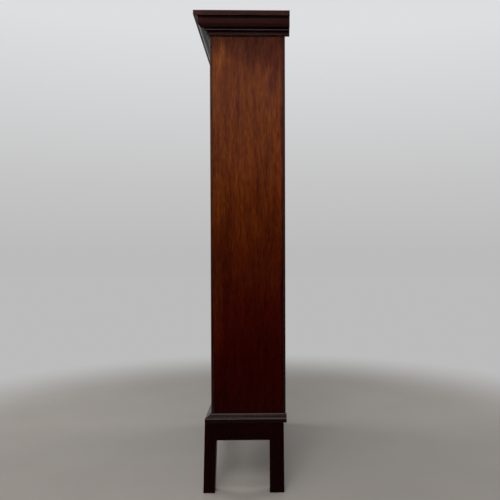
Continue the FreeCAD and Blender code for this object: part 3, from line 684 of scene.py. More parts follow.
# Finishes of the cabinet
PANEL = Mahogany(
    "figured_mahogany_panel",
    dark=(0.068, 0.0165, 0.0085),
    middle=(0.112, 0.0285, 0.0100),
    light=(0.165, 0.0460, 0.0125),
    ribbon=62.0,
    specular=0.05,
    patches=(
        Patch(-0.070, 1.447, 0.030, 0.060, 4.0, (1.60, 1.90, 1.20), 0.75),
        Patch(-0.028, 1.370, 0.022, 0.070, 4.0, (1.30, 1.25, 0.90), 0.7),
        Patch(0.050, 1.455, 0.085, 0.070, 8.0, (0.50, 0.44, 0.80), 0.9),
        Patch(0.105, 1.460, 0.040, 0.085, 4.0, (0.62, 0.50, 0.85), 0.75),
        Patch(0.099, 1.360, 0.022, 0.110, 12.0, (0.50, 0.45, 1.15), 0.65),
        Patch(-0.008, 1.285, 0.014, 0.055, 6.0, (0.55, 0.48, 1.00), 0.5),
        # Painted shadow of the cornice: a darker band along the top of the panel
        Patch(0.010, 1.512, 0.300, 0.070, 0.0, (0.55, 0.52, 0.62), 0.9),
        # Painted shade: dark strips along the panel's rear and front edges
        Patch(0.136, 0.890, 0.014, 1.500, 0.0, (0.35, 0.28, 0.80), 0.9),
        Patch(-0.107, 0.890, 0.012, 1.500, 0.0, (0.55, 0.48, 0.80), 0.9),
        Patch(0.116, 1.180, 0.012, 0.160, 0.0, (1.35, 1.05, 0.85), 0.7),
        Patch(-0.059, 1.130, 0.014, 0.060, 0.0, (1.25, 1.60, 1.00), 0.7),
        Patch(-0.088, 1.130, 0.012, 0.060, 0.0, (0.75, 0.90, 0.90), 0.7),
        Patch(-0.073, 0.965, 0.028, 0.150, -2.0, (1.35, 1.60, 1.05), 0.75),
        Patch(0.012, 0.960, 0.028, 0.150, 0.0, (0.76, 0.70, 0.85), 0.6),
        Patch(0.050, 0.990, 0.028, 0.120, 2.0, (0.60, 0.48, 0.75), 0.8),
        Patch(0.118, 1.020, 0.012, 0.110, 0.0, (1.30, 0.85, 0.80), 0.7),
        Patch(-0.087, 0.580, 0.024, 0.270, 1.0, (1.75, 3.30, 1.30), 0.9),
    ),
)
JOINERY = Mahogany(
    "mahogany_joinery",
    dark=(0.030, 0.0085, 0.005),
    middle=(0.062, 0.019, 0.009),
    light=(0.105, 0.036, 0.015),
)
SHELVING = replace(JOINERY, name="mahogany_shelving", roughness=0.36, specular=0.12, swell=2.0)
# Painted highlight on moulding noses and rubbed arrises, and painted shade in the mouldings' hollows, under
# their noses and on the cornice's ovolo
WEAR_AND_HIGHLIGHT: Colour = (0.20, 0.135, 0.12)
PAINTED_SHADE: Colour = (0.006, 0.0012, 0.0010)
RED_SHADE: Colour = (0.018, 0.0030, 0.0022)
MOULDING = Mahogany(
    "mahogany_moulding",
    dark=(0.021, 0.0080, 0.0064),
    middle=(0.027, 0.0108, 0.0088),
    light=(0.035, 0.0150, 0.0122),
    worn=WEAR_AND_HIGHLIGHT,
    wear=0.7,
    roughness=0.20,
    specular=0.09,
    swell=1.0,
    shade=0.85,
    # Painted highlights and painted shade along the base moulding and the cornice
    lines=(
        Line(0.2395, 6.0 * MM, PAINTED_SHADE, 0.85),
        Line(0.2470, 1.6 * MM, WEAR_AND_HIGHLIGHT, 0.40),
        Line(0.2542, 3.0 * MM, PAINTED_SHADE, 0.85),
        Line(0.2590, 1.6 * MM, WEAR_AND_HIGHLIGHT, 0.40),
        Line(1.5208, 2.2 * MM, WEAR_AND_HIGHLIGHT, 0.10),
        Line(1.5310, 2.5 * MM, PAINTED_SHADE, 0.5),
        Line(1.5357, 1.0 * MM, WEAR_AND_HIGHLIGHT, 0.4),
        Line(1.5395, 2.6 * MM, PAINTED_SHADE, 0.9),
        Line(1.5510, 9.0 * MM, RED_SHADE, 0.6),
    ),
    patches=(Patch(-0.145, 1.575, 0.035, 0.030, 0.0, (2.2, 1.5, 1.3), 0.8),),
)
# Dark-stained stand; its near-black red is partly its stain and partly painted shade under the carcase
STAND = Mahogany(
    "mahogany_stand",
    dark=(0.024, 0.0030, 0.0022),
    middle=(0.043, 0.0052, 0.0038),
    light=(0.070, 0.0095, 0.0065),
    worn=(0.06, 0.022, 0.016),
    wear=0.35,
    specular=0.05,
)
PINE = Softwood("stained_softwood", early=(0.20, 0.105, 0.048), late=(0.085, 0.038, 0.017))
PINE_FRAME = replace(PINE, name="stained_softwood_frame", axis=Axis.RIGHT)
PINE_DARK = Softwood("dark_stained_softwood", early=(0.016, 0.005, 0.003), late=(0.008, 0.002, 0.0015))
BRASS = Metal("aged_brass", (0.66, 0.44, 0.17), (0.20, 0.115, 0.045), 0.10, 0.26)
STEEL = Metal("worn_steel", (0.42, 0.40, 0.37), (0.10, 0.075, 0.055), 0.12, 0.30)
IRON = Metal("rusty_iron", (0.16, 0.12, 0.10), (0.06, 0.028, 0.016), 0.30, 0.55)
PANE = Glass("drawn_glass", (0.965, 0.985, 0.975))
PUTTY = Putty("stained_putty", (0.060, 0.028, 0.017), (0.15, 0.085, 0.05))


class Bench:
    """Work on one piece at a time: copies of the frame's nodes, turned pieces, grain and wear.

    Attributes:
        eased_angle: Edges sharper than this are rounded.
        flat_angle: Faces that meet flatter than this become one.
        turned_angle: Edges of turned pieces up to this are shaded smooth.
        weld: Distance within which vertices become one.
        segments: Flats of a rounded arris.
        digits: Digits of a metre that tell solids apart.
        parallel: Cosine from which a board's face counts as lying along its grain.
        seeds: Weights that make a number of a board's place.
        spreads: Factor of that number and longest shift of the pattern, in each direction.
    """

    eased_angle = math.radians(50)
    flat_angle = math.radians(0.5)
    turned_angle = math.radians(40)
    weld = 0.01 * MM
    segments = 2
    digits = 4
    parallel = 0.9
    seeds = (0.731, 1.317, 0.173)
    spreads = ((1.0, 3.1), (1.7, 2.3), (2.9, 1.9))

    @classmethod
    def copy_node(cls, node: str, finish: Finish, arris: float, grain_by: GrainBy = GrainBy.BOARD) -> None:
        """Makes a finished copy of a node, with rounded arrises, that stands for the node.

        Args:
            node: Name of the node.
            finish: Its finish.
            arris: Width of the rounding, or 0 for none.
            grain_by: How the grain is told.
        """
        mesh = frame["nodes"][node].data.copy()
        mesh.materials.clear()
        piece = bpy.data.objects.new(node + "_finished", mesh)
        bpy.context.scene.collection.objects.link(piece)
        with editing(piece):
            bpy.ops.mesh.remove_doubles(threshold=cls.weld)
            bpy.ops.mesh.dissolve_limited(angle_limit=cls.flat_angle)
            if grain_by is GrainBy.FACE:
                cls.open_mitres()
        mesh.attributes.new("arris", "FLOAT", "FACE")
        if arris:
            cls.ease(piece, arris)
        cls.smooth(piece)
        if grain_by is GrainBy.FACE:
            cls.grain_by_face(piece)
        else:
            cls.grain_by_board(piece)
        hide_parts(node)
        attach(piece, body_of(node))
        mesh.materials.append(finish.material())

    @staticmethod
    def open_mitres() -> None:
        """Takes out the faces inside mitred joints, and keeps the mitres as sharp lines."""
        bpy.ops.mesh.select_all(action="DESELECT")
        bpy.ops.mesh.select_interior_faces()
        bpy.ops.mesh.mark_sharp()
        bpy.ops.mesh.delete(type="ONLY_FACE")

    @classmethod
    def ease(cls, piece: Piece, arris: float) -> None:
        """Rounds the sharp edges of a piece, and marks the rounding for wear.

        Args:
            piece: The piece.
            arris: Width of the rounding.
        """
        with editing(piece):
            bpy.ops.mesh.select_mode(type="EDGE")
            bpy.ops.mesh.select_all(action="DESELECT")
            bpy.ops.mesh.edges_select_sharp(sharpness=cls.eased_angle)
            bpy.ops.mesh.bevel(offset=arris, segments=cls.segments, affect="EDGES", clamp_overlap=True)
        mesh = piece.data
        lengths = {
            edge.key: (mesh.vertices[edge.key[0]].co - mesh.vertices[edge.key[1]].co).length
            for edge in mesh.edges
        }
        worn = []
        for strip in mesh.polygons:
            around = sum(lengths[key] for key in strip.edge_keys)
            worn.append(float(strip.select and 2 * strip.area < arris * around))
        mesh.attributes["arris"].data.foreach_set("value", worn)

    @classmethod
    def smooth(cls, piece: Piece) -> None:
        """Shades the rounds smooth and keeps the flats flat.

        Args:
            piece: The piece.
        """
        pick(piece)
        bpy.ops.object.shade_smooth_by_angle(angle=cls.eased_angle, keep_sharp_edges=True)
        modifier = piece.modifiers.new("weighted", "WEIGHTED_NORMAL")
        modifier.keep_sharp = True
        bpy.ops.object.modifier_apply(modifier=modifier.name)

    @staticmethod
    def islands(work: bmesh.types.BMesh) -> list[list[bmesh.types.BMVert]]:
        """Vertices of each separate solid of a mesh.

        Args:
            work: The mesh, with its doubles merged.

        Returns:
            Lists of vertices.
        """
        seen: set[bmesh.types.BMVert] = set()
        found = []
        for start in work.verts:
            if start in seen:
                continue
            island = [start]
            seen.add(start)
            for vertex in island:
                for edge in vertex.link_edges:
                    other = edge.other_vert(vertex)
                    if other not in seen:
                        seen.add(other)
                        island.append(other)
            found.append(island)
        return found

    @classmethod
    def solids(cls, node: str) -> list[tuple[Vector, Vector]]:
        """Corners of each separate solid of a node, from the lowest up and from left to right.

        Args:
            node: Name of the node.

        Returns:
            Lowest and highest corner of each.
        """
        work = bmesh.new()
        work.from_mesh(frame["nodes"][node].data)
        bmesh.ops.remove_doubles(work, verts=work.verts, dist=cls.weld)
        boxes = []
        for island in cls.islands(work):
            places = [vertex.co for vertex in island]
            low = Vector(min(p[i] for p in places) for i in range(3))
            high = Vector(max(p[i] for p in places) for i in range(3))
            boxes.append((low, high))
        work.free()
        return sorted(boxes, key=lambda box: [round(part, cls.digits) for part in box[0].zxy])

    @classmethod
    def grain_by_board(cls, piece: Piece) -> None:
        """Lays the grain along the longest edge of each board in a piece.

        Args:
            piece: The piece.
        """
        mesh = piece.data
        work = bmesh.new()
        work.from_mesh(mesh)
        values = [0.0] * (3 * len(mesh.vertices))
        for island in cls.islands(work):
            edges = {edge for vertex in island for edge in vertex.link_edges}
            faces = {face for vertex in island for face in vertex.link_faces}
            longest = max(edges, key=lambda edge: edge.calc_length())
            widest = max(faces, key=lambda face: face.calc_area())
            frame_of = cls.board_frame(longest.verts[1].co - longest.verts[0].co, widest.normal)
            middle = sum((vertex.co for vertex in island), Vector()) / len(island)
            shift = cls.scatter(middle)
            for vertex in island:
                place = frame_of @ vertex.co + shift
                values[3 * vertex.index : 3 * vertex.index + 3] = place
        work.free()
        grain = mesh.attributes.new("grain", "FLOAT_VECTOR", "POINT")
        grain.data.foreach_set("vector", values)

    @classmethod
    def grain_by_face(cls, piece: Piece) -> None:
        """Lays the grain along the longest edge of each face, for bars that run many ways.

        Args:
            piece: The piece.
        """
        mesh = piece.data
        values = [0.0] * (3 * len(mesh.loops))
        for face in mesh.polygons:
            points = [mesh.vertices[i].co for i in face.vertices]
            sides = [b - a for a, b in zip(points, points[1:] + points[:1])]
            frame_of = cls.board_frame(max(sides, key=lambda side: side.length), Axis.FRONT.way)
            shift = cls.scatter(frame_of.transposed() @ Vector((0, *(frame_of @ face.center).yz)))
            for loop in face.loop_indices:
                place = frame_of @ mesh.vertices[mesh.loops[loop].vertex_index].co + shift
                values[3 * loop : 3 * loop + 3] = place
        grain = mesh.attributes.new("grain", "FLOAT_VECTOR", "CORNER")
        grain.data.foreach_set("vector", values)

    @classmethod
    def board_frame(cls, along: Vector, face: Vector) -> Matrix:
        """Rotation from the cabinet's frame to a board's own.

        Args:
            along: Direction of the grain, either way.
            face: Normal of the board's face, either way.

        Returns:
            The rotation matrix.
        """
        along = along.normalized()
        if max(along, key=abs) < 0:
            along = -along
        if abs(along.dot(face)) > cls.parallel:
            face = Axis.FRONT.way if abs(along.y) < cls.parallel else Axis.UP.way
        across = face.cross(along).normalized()
        return Matrix((along, across, along.cross(across)))

    @classmethod
    def scatter(cls, place: Vector) -> Vector:
        """A shift in metres, from a board's middle, that sets its pattern apart from the next one's."""
        seed = sum(round(part / MM) * weight for part, weight in zip(place, cls.seeds))
        return Vector([seed * factor % longest for factor, longest in cls.spreads])

    @staticmethod
    def settle(piece: Piece) -> Piece:
        """Puts a piece's place into its mesh, so that its object lies at the origin.

        Args:
            piece: The piece.

        Returns:
            The same piece.
        """
        pick(piece)
        bpy.ops.object.transform_apply(location=True, rotation=True, scale=True)
        with editing(piece):
            bpy.ops.mesh.normals_make_consistent(inside=False)
        return piece

    @classmethod
    def turned(
        cls, name: str, start: Vector, way: Vector, sections: list[tuple[float, float]], sides: int = 24
    ) -> Piece:
        """A turned piece: a disc that is drawn out along its axis and widened or narrowed on the way.

        Args:
            name: The piece's name.
            start: Middle of the first disc.
            way: Direction of the axis.
            sections: Distance from the start and radius of each section.
            sides: Sides of the disc.

        Returns:
            The piece, in place.
        """
        turn = way.to_track_quat("Z", "Y").to_euler()
        radius = sections[0][1]
        first = start + way * sections[0][0]
        bpy.ops.mesh.primitive_circle_add(
            vertices=sides, radius=radius, fill_type="NGON", location=first, rotation=turn
        )
        piece = bpy.context.object
        piece.name = name
        with editing(piece):
            for (before, _), (here, wide) in zip(sections, sections[1:]):
                step = way * (here - before)
                bpy.ops.mesh.extrude_region_move(TRANSFORM_OT_translate={"value": step})
                bpy.ops.transform.resize(value=(wide / radius,) * 3, center_override=start + way * here)
                radius = wide
        cls.settle(piece)
        bpy.ops.object.shade_smooth_by_angle(angle=cls.turned_angle)
        return piece

    @classmethod
    def block(cls, size: Triple, middle: Vector, arris: float = 0.0) -> Piece:
        """A block.

        Args:
            size: Its size.
            middle: Its middle.
            arris: Rounding of its edges, or 0 for none.

        Returns:
            The piece, in place.
        """
        bpy.ops.mesh.primitive_cube_add(size=1.0, location=middle)
        piece = bpy.context.object
        piece.scale = size
        cls.settle(piece)
        if arris:
            with editing(piece):
                bpy.ops.mesh.bevel(offset=arris, segments=cls.segments, affect="EDGES")
        return piece

    @classmethod
    def join(cls, name: str, pieces: list[Piece]) -> Piece:
        """Makes one piece of several.

        Args:
            name: The new piece's name.
            pieces: The pieces.

        Returns:
            The joined piece.
        """
        pick(*pieces)
        bpy.ops.object.join()
        pieces[0].name = name
        return pieces[0]

    @classmethod
    def repeat(cls, name: str, pattern: Piece, places: list[tuple[Vector, Vector, float]]) -> Piece:
        """Copies a small piece to several places.

        Args:
            name: Name of the group.
            pattern: The piece, at the origin and facing up. It is used up.
            places: Where each copy sits, which way it faces and its turn in degrees.

        Returns:
            The group as one piece.
        """
        copies = []
        for place, way, turn in places:
            copy = bpy.data.objects.new(name, pattern.data.copy())
            bpy.context.scene.collection.objects.link(copy)
            facing = way.to_track_quat("Z", "Y").to_matrix().to_4x4()
            spin = Matrix.Rotation(math.radians(turn), 4, "Z")
            copy.matrix_world = Matrix.Translation(place) @ facing @ spin
            copies.append(copy)
        bpy.data.objects.remove(pattern)
        return cls.settle(cls.join(name, copies))

    @staticmethod
    def dress(piece: Piece, finish: Finish, body: str, slot: str) -> None:
        """Gives a new piece its finish and body.

        Args:
            piece: The piece.
            finish: Its finish.
            body: The body that it moves with.
            slot: The record's material slot; not used.
        """
        piece.data.materials.clear()
        piece.data.materials.append(finish.material())
        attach(piece, body)
        log.info("%s rides on %s", piece.name, body)


def rounded(ends: Profile, tip: float, radius: float, length: float) -> list[tuple[float, float]]:
    """Sections of a rod with the same rounded tip at both ends.

    Args:
        ends: Sections of a tip from its end inwards, as shares of its length and of the radius.
        tip: Length of a tip.
        radius: Radius of the rod.
        length: Length of the rod.

    Returns:
        Distance from the start and radius of each section.
    """
    start = [(tip * along, radius * wide) for along, wide in ends]
    return start + [(length - along, wide) for along, wide in reversed(start)]


def corners(low: Vector, high: Vector, y: float, sides: tuple[float, float], ends: float) -> list[Place]:
    """Places near the four corners of an upright plate, that face backwards.

    Args:
        low: Lowest corner of the plate's box.
        high: Highest corner of it.
        y: Where the plate's rear face is.
        sides: Distance of the places from the plate's left and right edge.
        ends: Distance of the places from the plate's ends.

    Returns:
        Place and outward direction of each.
    """
    return [
        (Vector((x, y, z)), Axis.BACK.way)
        for x in (low.x + sides[0], high.x - sides[1])
        for z in (low.z + ends, high.z - ends)
    ]


@dataclass
class Screws:
    """Slotted countersunk screws.

    Attributes:
        head_radius: Radius of the head.
        proud: How far the head stands above its seat.
        slot_width: Width of the slot.
        slot_depth: Depth of the slot.
        profile: Sections of the head, as millimetres below its top and shares of its radius.
        turn: Turn of each slot against the one before, in degrees.
        smooth: Edges of the head up to this angle are shaded smooth.
    """

    head_radius: float = 2.3 * MM
    proud: float = 0.12 * MM
    slot_width: float = 0.55 * MM
    slot_depth: float = 0.6 * MM
    profile: Profile = ((1.0, 0.6), (0.2, 0.98), (0.05, 1.0), (0.0, 0.9))
    turn: float = 37.0
    smooth: float = math.radians(30)

    def pattern(self) -> Piece:
        """One screw head at the origin, facing up."""
        radius = self.head_radius
        sections = [(self.proud - depth * MM, radius * wide) for depth, wide in self.profile]
        head = Bench.turned("screw", Vector(), Axis.UP.way, sections, 20)
        size = (3 * radius, self.slot_width, 2 * self.slot_depth)
        cutter = Bench.block(size, Vector((0, 0, self.proud)))
        modifier = head.modifiers.new("slot", "BOOLEAN")
        modifier.object = cutter
        modifier.operation = "DIFFERENCE"
        modifier.solver = "EXACT"
        pick(head)
        bpy.ops.object.modifier_apply(modifier=modifier.name)
        bpy.data.objects.remove(cutter)
        return head

    def drive(self, name: str, places: list[Place], body: str) -> None:
        """Drives screws at the given places.

        Args:
            name: Name of the group.
            places: Place on the seat and outward direction of each.
            body: The body that carries them.
        """
        turned = [(place, way, self.turn * i) for i, (place, way) in enumerate(places)]
        group = Bench.repeat(name, self.pattern(), turned)
        bpy.ops.object.shade_smooth_by_angle(angle=self.smooth)
        Bench.dress(group, BRASS, body, "brass")


@dataclass
class Woodwork:
    """Boards, frames and mouldings, each an eased copy of its node.

    Attributes:
        name: What the group is called in the log.
        finish: The timber.
        nodes: Names of the nodes.
        arris: Width of the rounded arrises.
        grain_by: How the grain is told.
    """

    name: str
    finish: Finish
    nodes: tuple[str, ...]
    arris: float = 0.8 * MM
    grain_by: GrainBy = GrainBy.BOARD

    def build(self) -> None:
        """Makes every piece of the group."""
        for node in self.nodes:
            Bench.copy_node(node, self.finish, self.arris, self.grain_by)
        log.info("%s: %d pieces", self.name, len(self.nodes))


@dataclass
class BackNails:
    """Cut nails that hold the back boards.

    Attributes:
        head: Width, length and thickness of a head.
        arris: Rounding of its edges.
        inset: Distance from a board's ends, and from the back's outer edges.
        edge: Distance from a board's long edges.
        along_edge: Nails along each outer edge of the back.
        turn: Step between the heads' turns, in degrees.
        turns: How many turns there are.
    """

    head: Triple = (2.4 * MM, 3.6 * MM, 0.7 * MM)
    arris: float = 0.25 * MM
    inset: float = 10.0 * MM
    edge: float = 22.0 * MM
    along_edge: int = 5
    turn: float = 11.0
    turns: int = 5

    def build(self) -> None:
        """Nails every board at its top and bottom, and the outer boards along their edges."""
        places = []
        for low, high in Bench.solids("back_boards"):
            places += corners(low, high, high.y, (self.edge, self.edge), self.inset)
        low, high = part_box("back_boards")
        for i in range(self.along_edge):
            z = low.z + (high.z - low.z) * (i + 1) / (self.along_edge + 1)
            for x in (low.x + self.inset, high.x - self.inset):
                places.append((Vector((x, high.y, z)), Axis.BACK.way))
        turned = [
            (place, way, self.turn * (i % self.turns - self.turns // 2))
            for i, (place, way) in enumerate(places)
        ]
        pattern = Bench.block(self.head, Vector(), self.arris)
        Bench.dress(Bench.repeat("board_nails", pattern, turned), IRON, "cabinet", "steel")


@dataclass
class Hinges:
    """Brass butts: eased leaves, turned pins and their screws.

    Attributes:
        from_rear: Distance of the screws from a leaf's rear edge.
        stagger: How far the middle screw stands forward.
        from_end: Distance of the outer screws from a leaf's ends.
        leaf: Thickness of a leaf.
        arris: Rounding of the leaves' edges.
        tip: Length of a pin's rounded tips.
        tips: Sections of a tip, as shares of its length and of the radius.
        screws: The screws.
    """

    from_rear: float = 5.5 * MM
    stagger: float = 4.0 * MM
    from_end: float = 10.0 * MM
    leaf: float = 1.6 * MM
    arris: float = 0.25 * MM
    tip: float = 1.4 * MM
    tips: Profile = ((0.0, 0.45), (0.3, 0.8), (1.0, 0.98))
    screws: Screws = field(default_factory=Screws)

    def build(self) -> None:
        """Makes the leaves, the pins and the screws."""
        for node in names("carcase right_door left_door", "hinge_leaves"):
            Bench.copy_node(node, BRASS, self.arris)
            self.screw(node)
        self.pins()

    def screw(self, node: str) -> None:
        """Screws on one node's leaves, on the face that shows when the door is open.

        Args:
            node: Name of the node with the leaves.
        """
        places = []
        on_carcase = node.startswith("carcase")
        door_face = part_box("right_door_hinge_leaves")[1].x
        for low, high in Bench.solids(node):
            right = low.x > 0
            outward = 1 if right != on_carcase else -1
            outer = high.x if right else low.x
            face = outer - math.copysign(self.leaf, outer) if on_carcase else math.copysign(door_face, low.x)
            heights = (low.z + self.from_end, (low.z + high.z) / 2, high.z - self.from_end)
            for z, forward in zip(heights, (0.0, self.stagger, 0.0)):
                place = Vector((face, high.y - self.from_rear - forward, z))
                places.append((place, Axis.RIGHT.way * outward))
        self.screws.drive(node + "_screws", places, body_of(node))

    def pins(self) -> None:
        """Turned pins with round tips, in place of the plain ones."""
        pieces = []
        for low, high in Bench.solids("hinge_pins"):
            middle = (low + high) / 2
            sections = rounded(self.tips, self.tip, (high.x - low.x) / 2, high.z - low.z)
            foot = Vector((middle.x, middle.y, low.z))
            pieces.append(Bench.turned("pin", foot, Axis.UP.way, sections, 20))
        group = Bench.join("hinge_pins_turned", pieces)
        Bench.dress(group, BRASS, "cabinet", "brass")
        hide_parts("hinge_pins")


@dataclass
class LockFittings:
    """Lock, escutcheon and strike plate of the doors.

    Attributes:
        arris: Rounding of the plates' edges.
        inset: Distance of the screws from a plate's corners and from a selvedge's ends.
        selvedge: Distance of the selvedges' screws from the lock's rear face.
        screws: The plates' screws.
        pin_radius: Radius of the escutcheon's pins.
        pin_inset: Distance of the pins from the escutcheon's ends, in radii.
        pin: Sections of a pin, as millimetres out of the escutcheon and shares of the radius.
    """

    arris: float = 0.3 * MM
    inset: float = 3.4 * MM
    selvedge: float = 6.0 * MM
    screws: Screws = field(default_factory=lambda: Screws(head_radius=1.7 * MM))
    pin_radius: float = 1.0 * MM
    pin_inset: float = 2.4
    pin: Profile = ((-0.5, 1.0), (0.1, 1.0), (0.4, 0.8), (0.55, 0.35))

    def build(self) -> None:
        """Makes the lock and the plates, with their screws."""
        for node in ("lock_case", "lock_bolt", "strike_plate", "escutcheon"):
            Bench.copy_node(node, BRASS, self.arris)
        low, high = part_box("lock_case")
        middle = high.y - self.selvedge
        places = corners(low, high, high.y, (2 * self.inset, self.inset), self.inset)
        for z in (low.z + self.inset, high.z - self.inset):
            places.append((Vector((low.x, middle, z)), Axis.LEFT.way))
        self.screws.drive("lock_screws", places, "right_door")
        low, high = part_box("strike_plate")
        heights = (low.z + self.inset, high.z - self.inset)
        places = [(Vector((high.x, middle, z)), Axis.RIGHT.way) for z in heights]
        self.screws.drive("strike_screws", places, "left_door")
        self.escutcheon_pins()

    def escutcheon_pins(self) -> None:
        """Two round-headed pins in the escutcheon."""
        low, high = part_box("escutcheon")
        x = (low.x + high.x) / 2
        sections = [(out * MM, self.pin_radius * wide) for out, wide in self.pin]
        inset = self.pin_inset * self.pin_radius
        pins = [
            Bench.turned("pin", Vector((x, low.y, z)), Axis.FRONT.way, sections, 16)
            for z in (low.z + inset, high.z - inset)
        ]
        Bench.dress(Bench.join("escutcheon_pins", pins), BRASS, "right_door", "brass")


@dataclass
class Key:
    """A steel key: oval ring bow, turned collar and shank, and a bit.

    Attributes:
        bow: Outer radius of the ring before it is flattened.
        ring_inset: Distance of the middle of the ring's section from that radius.
        ring: Radius of the ring's section.
        flattened: Shares of its size that the ring keeps in each direction.
        ring_smooth: Edges of the ring up to this angle are shaded smooth.
        shank: Radius of the shank.
        collar: Sections of the collar, as millimetres from the neck and shares of the shank's radius.
        tip: Sections of the tip, as millimetres from its end and shares of the shank's radius.
        bit: Thickness and length of the bit.
        bit_from_end: Distance of the bit's middle from the shank's end.
        bit_sunk: How much lower than the shank's middle the bit's top lies.
        arris: Rounding of the bit's edges.
    """

    bow: float = 11.0 * MM
    ring_inset: float = 2.2 * MM
    ring: float = 2.1 * MM
    flattened: Triple = (0.9, 1.0, 0.7)
    ring_smooth: float = math.radians(60)
    shank: float = 2.45 * MM
    collar: Profile = (
        (-3.0, 0.9),
        (-1.0, 0.9),
        (0.0, 1.1),
        (0.6, 1.5),
        (1.6, 1.5),
        (2.2, 1.12),
        (2.8, 1.30),
        (3.8, 1.30),
        (4.6, 0.98),
    )
    tip: Profile = ((0.6, 0.98), (0.0, 0.75))
    bit: tuple[float, float] = (2.0 * MM, 4.8 * MM)
    bit_from_end: float = 2.6 * MM
    bit_sunk: float = 0.2 * MM
    arris: float = 0.25 * MM

    def build(self) -> None:
        """Makes the key in place of the plain one."""
        low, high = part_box("key")
        x = (low.x + high.x) / 2
        z = high.z - self.bow
        neck = low.y + 2 * self.bow
        length = high.y - neck
        sections = [(along * MM, self.shank * wide) for along, wide in self.collar]
        sections += [(length - along * MM, self.shank * wide) for along, wide in self.tip]
        stem = Bench.turned("stem", Vector((x, neck, z)), Axis.BACK.way, sections)
        ring = self.bow_ring(Vector((x, low.y + self.bow, z)))
        size = (*self.bit, z - low.z - self.bit_sunk)
        bit = Bench.block(size, Vector((x, high.y - self.bit_from_end, (z + low.z) / 2)), self.arris)
        key = Bench.join("key_steel", [stem, ring, bit])
        Bench.dress(key, STEEL, "key", "steel")
        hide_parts("key")

    def bow_ring(self, middle: Vector) -> Piece:
        """The ring that is the key's bow.

        Args:
            middle: Its middle.

        Returns:
            The ring.
        """
        bpy.ops.mesh.primitive_torus_add(
            major_radius=self.bow - self.ring_inset,
            minor_radius=self.ring,
            major_segments=48,
            minor_segments=16,
            location=middle,
            rotation=(0, math.radians(90), 0),
        )
        ring = bpy.context.object
        ring.scale = self.flattened
        Bench.settle(ring)
        bpy.ops.object.shade_smooth_by_angle(angle=self.ring_smooth)
        return ring


@dataclass
class DoorBolts:
    """Barrel bolts of the left door: eased plates, turned bolts with knobs, and screws.

    Attributes:
        arris: Rounding of the plates' edges.
        side_inset: Distance of the screws from a plate's sides.
        end_inset: Distance of the screws from a plate's ends.
        plate: Thickness of a plate.
        radius: Radius of a bolt and of its knob.
        tip: Length of a bolt's rounded tips.
        tips: Sections of a tip, as shares of its length and of the radius.
        knob_foot: First section of the knob, as shares of the radius.
        knob: Its other sections, as shares of its reach and of the radius.
        sliver: How close to its rear end the knob is measured.
        screws: The screws.
    """

    arris: float = 0.3 * MM
    side_inset: float = 1.75 * MM
    end_inset: float = 14.0 * MM
    plate: float = 1.5 * MM
    radius: float = 3.5 * MM
    tip: float = 1.0 * MM
    tips: Profile = ((0.0, 0.7), (0.4, 0.9), (1.0, 1.0))
    knob_foot: tuple[float, float] = (0.5, 0.55)
    knob: Profile = ((0.62, 0.5), (0.68, 0.9), (0.78, 1.0), (0.90, 0.9), (1.0, 0.45))
    sliver: float = 0.1 * MM
    screws: Screws = field(default_factory=lambda: Screws(head_radius=1.4 * MM))

    def build(self) -> None:
        """Makes the plates, the bolts and the screws."""
        Bench.copy_node("door_bolt_plates", BRASS, self.arris)
        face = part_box("left_door_hinge_stile")[1].y + self.plate
        places = []
        for low, high in Bench.solids("door_bolt_plates"):
            places += corners(low, high, face, (self.side_inset, self.side_inset), self.end_inset)
        self.screws.drive("door_bolt_screws", places, "left_door")
        for node in names("top bottom", "door_bolt"):
            self.bolt(node)

    def bolt(self, node: str) -> None:
        """One turned bolt with its knob.

        Args:
            node: Name of the node that it stands for.
        """
        low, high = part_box(node)
        x = (low.x + high.x) / 2
        y = low.y + self.radius
        sections = rounded(self.tips, self.tip, self.radius, high.z - low.z)
        rod = Bench.turned("rod", Vector((x, y, low.z)), Axis.UP.way, sections)
        sections = [tuple(self.radius * share for share in self.knob_foot)]
        sections += [((high.y - y) * along, self.radius * wide) for along, wide in self.knob]
        foot = Vector((x, y, self.knob_height(node)))
        knob = Bench.turned("knob", foot, Axis.BACK.way, sections)
        piece = Bench.join(node + "_turned", [rod, knob])
        Bench.dress(piece, BRASS, node, "brass")
        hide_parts(node)

    def knob_height(self, node: str) -> float:
        """Middle height of a bolt's knob, from the vertices that stand out behind the bolt.

        Args:
            node: Name of the bolt's node.

        Returns:
            The height.
        """
        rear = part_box(node)[1].y - self.sliver
        heights = [v.co.z for v in frame["nodes"][node].data.vertices if v.co.y > rear]
        return (min(heights) + max(heights)) / 2


@dataclass
class ShelfPegs:
    """Turned brass pegs under the shelves.

    Attributes:
        dome: Length of the rounded tip.
        tip: Sections of the tip, as shares of its length and of the radius.
    """

    dome: float = 1.2 * MM
    tip: Profile = ((0.0, 0.5), (0.35, 0.82), (1.0, 0.98))

    def build(self) -> None:
        """Makes every peg where the frame has one."""
        pegs = []
        for low, high in Bench.solids("shelf_pegs"):
            middle = (low + high) / 2
            radius = (high.z - low.z) / 2
            right = middle.x > 0
            tip = Vector((low.x if right else high.x, middle.y, middle.z))
            way = Axis.RIGHT.way if right else Axis.LEFT.way
            sections = [(self.dome * along, radius * wide) for along, wide in self.tip]
            sections.append((high.x - low.x, sections[-1][1]))
            pegs.append(Bench.turned("peg", tip, way, sections, 20))
        group = Bench.join("shelf_pegs_turned", pegs)
        Bench.dress(group, BRASS, "cabinet", "brass")
        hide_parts("shelf_pegs")


class Glazing:
    """Panes and putty, which keep the frame's own solids."""

    def build(self) -> None:
        """Dresses the panes and the putty of both doors."""
        for door in ("right_door", "left_door"):
            self.dress(door + "_glass_panes", PANE)
            self.dress(door + "_putty", PUTTY)

    @staticmethod
    def dress(node: str, finish: Finish) -> None:
        """Puts a finish on a node of the frame.

        Args:
            node: Name of the node.
            finish: The finish.
        """
        materials = frame["nodes"][node].data.materials
        materials.clear()
        materials.append(finish.material())


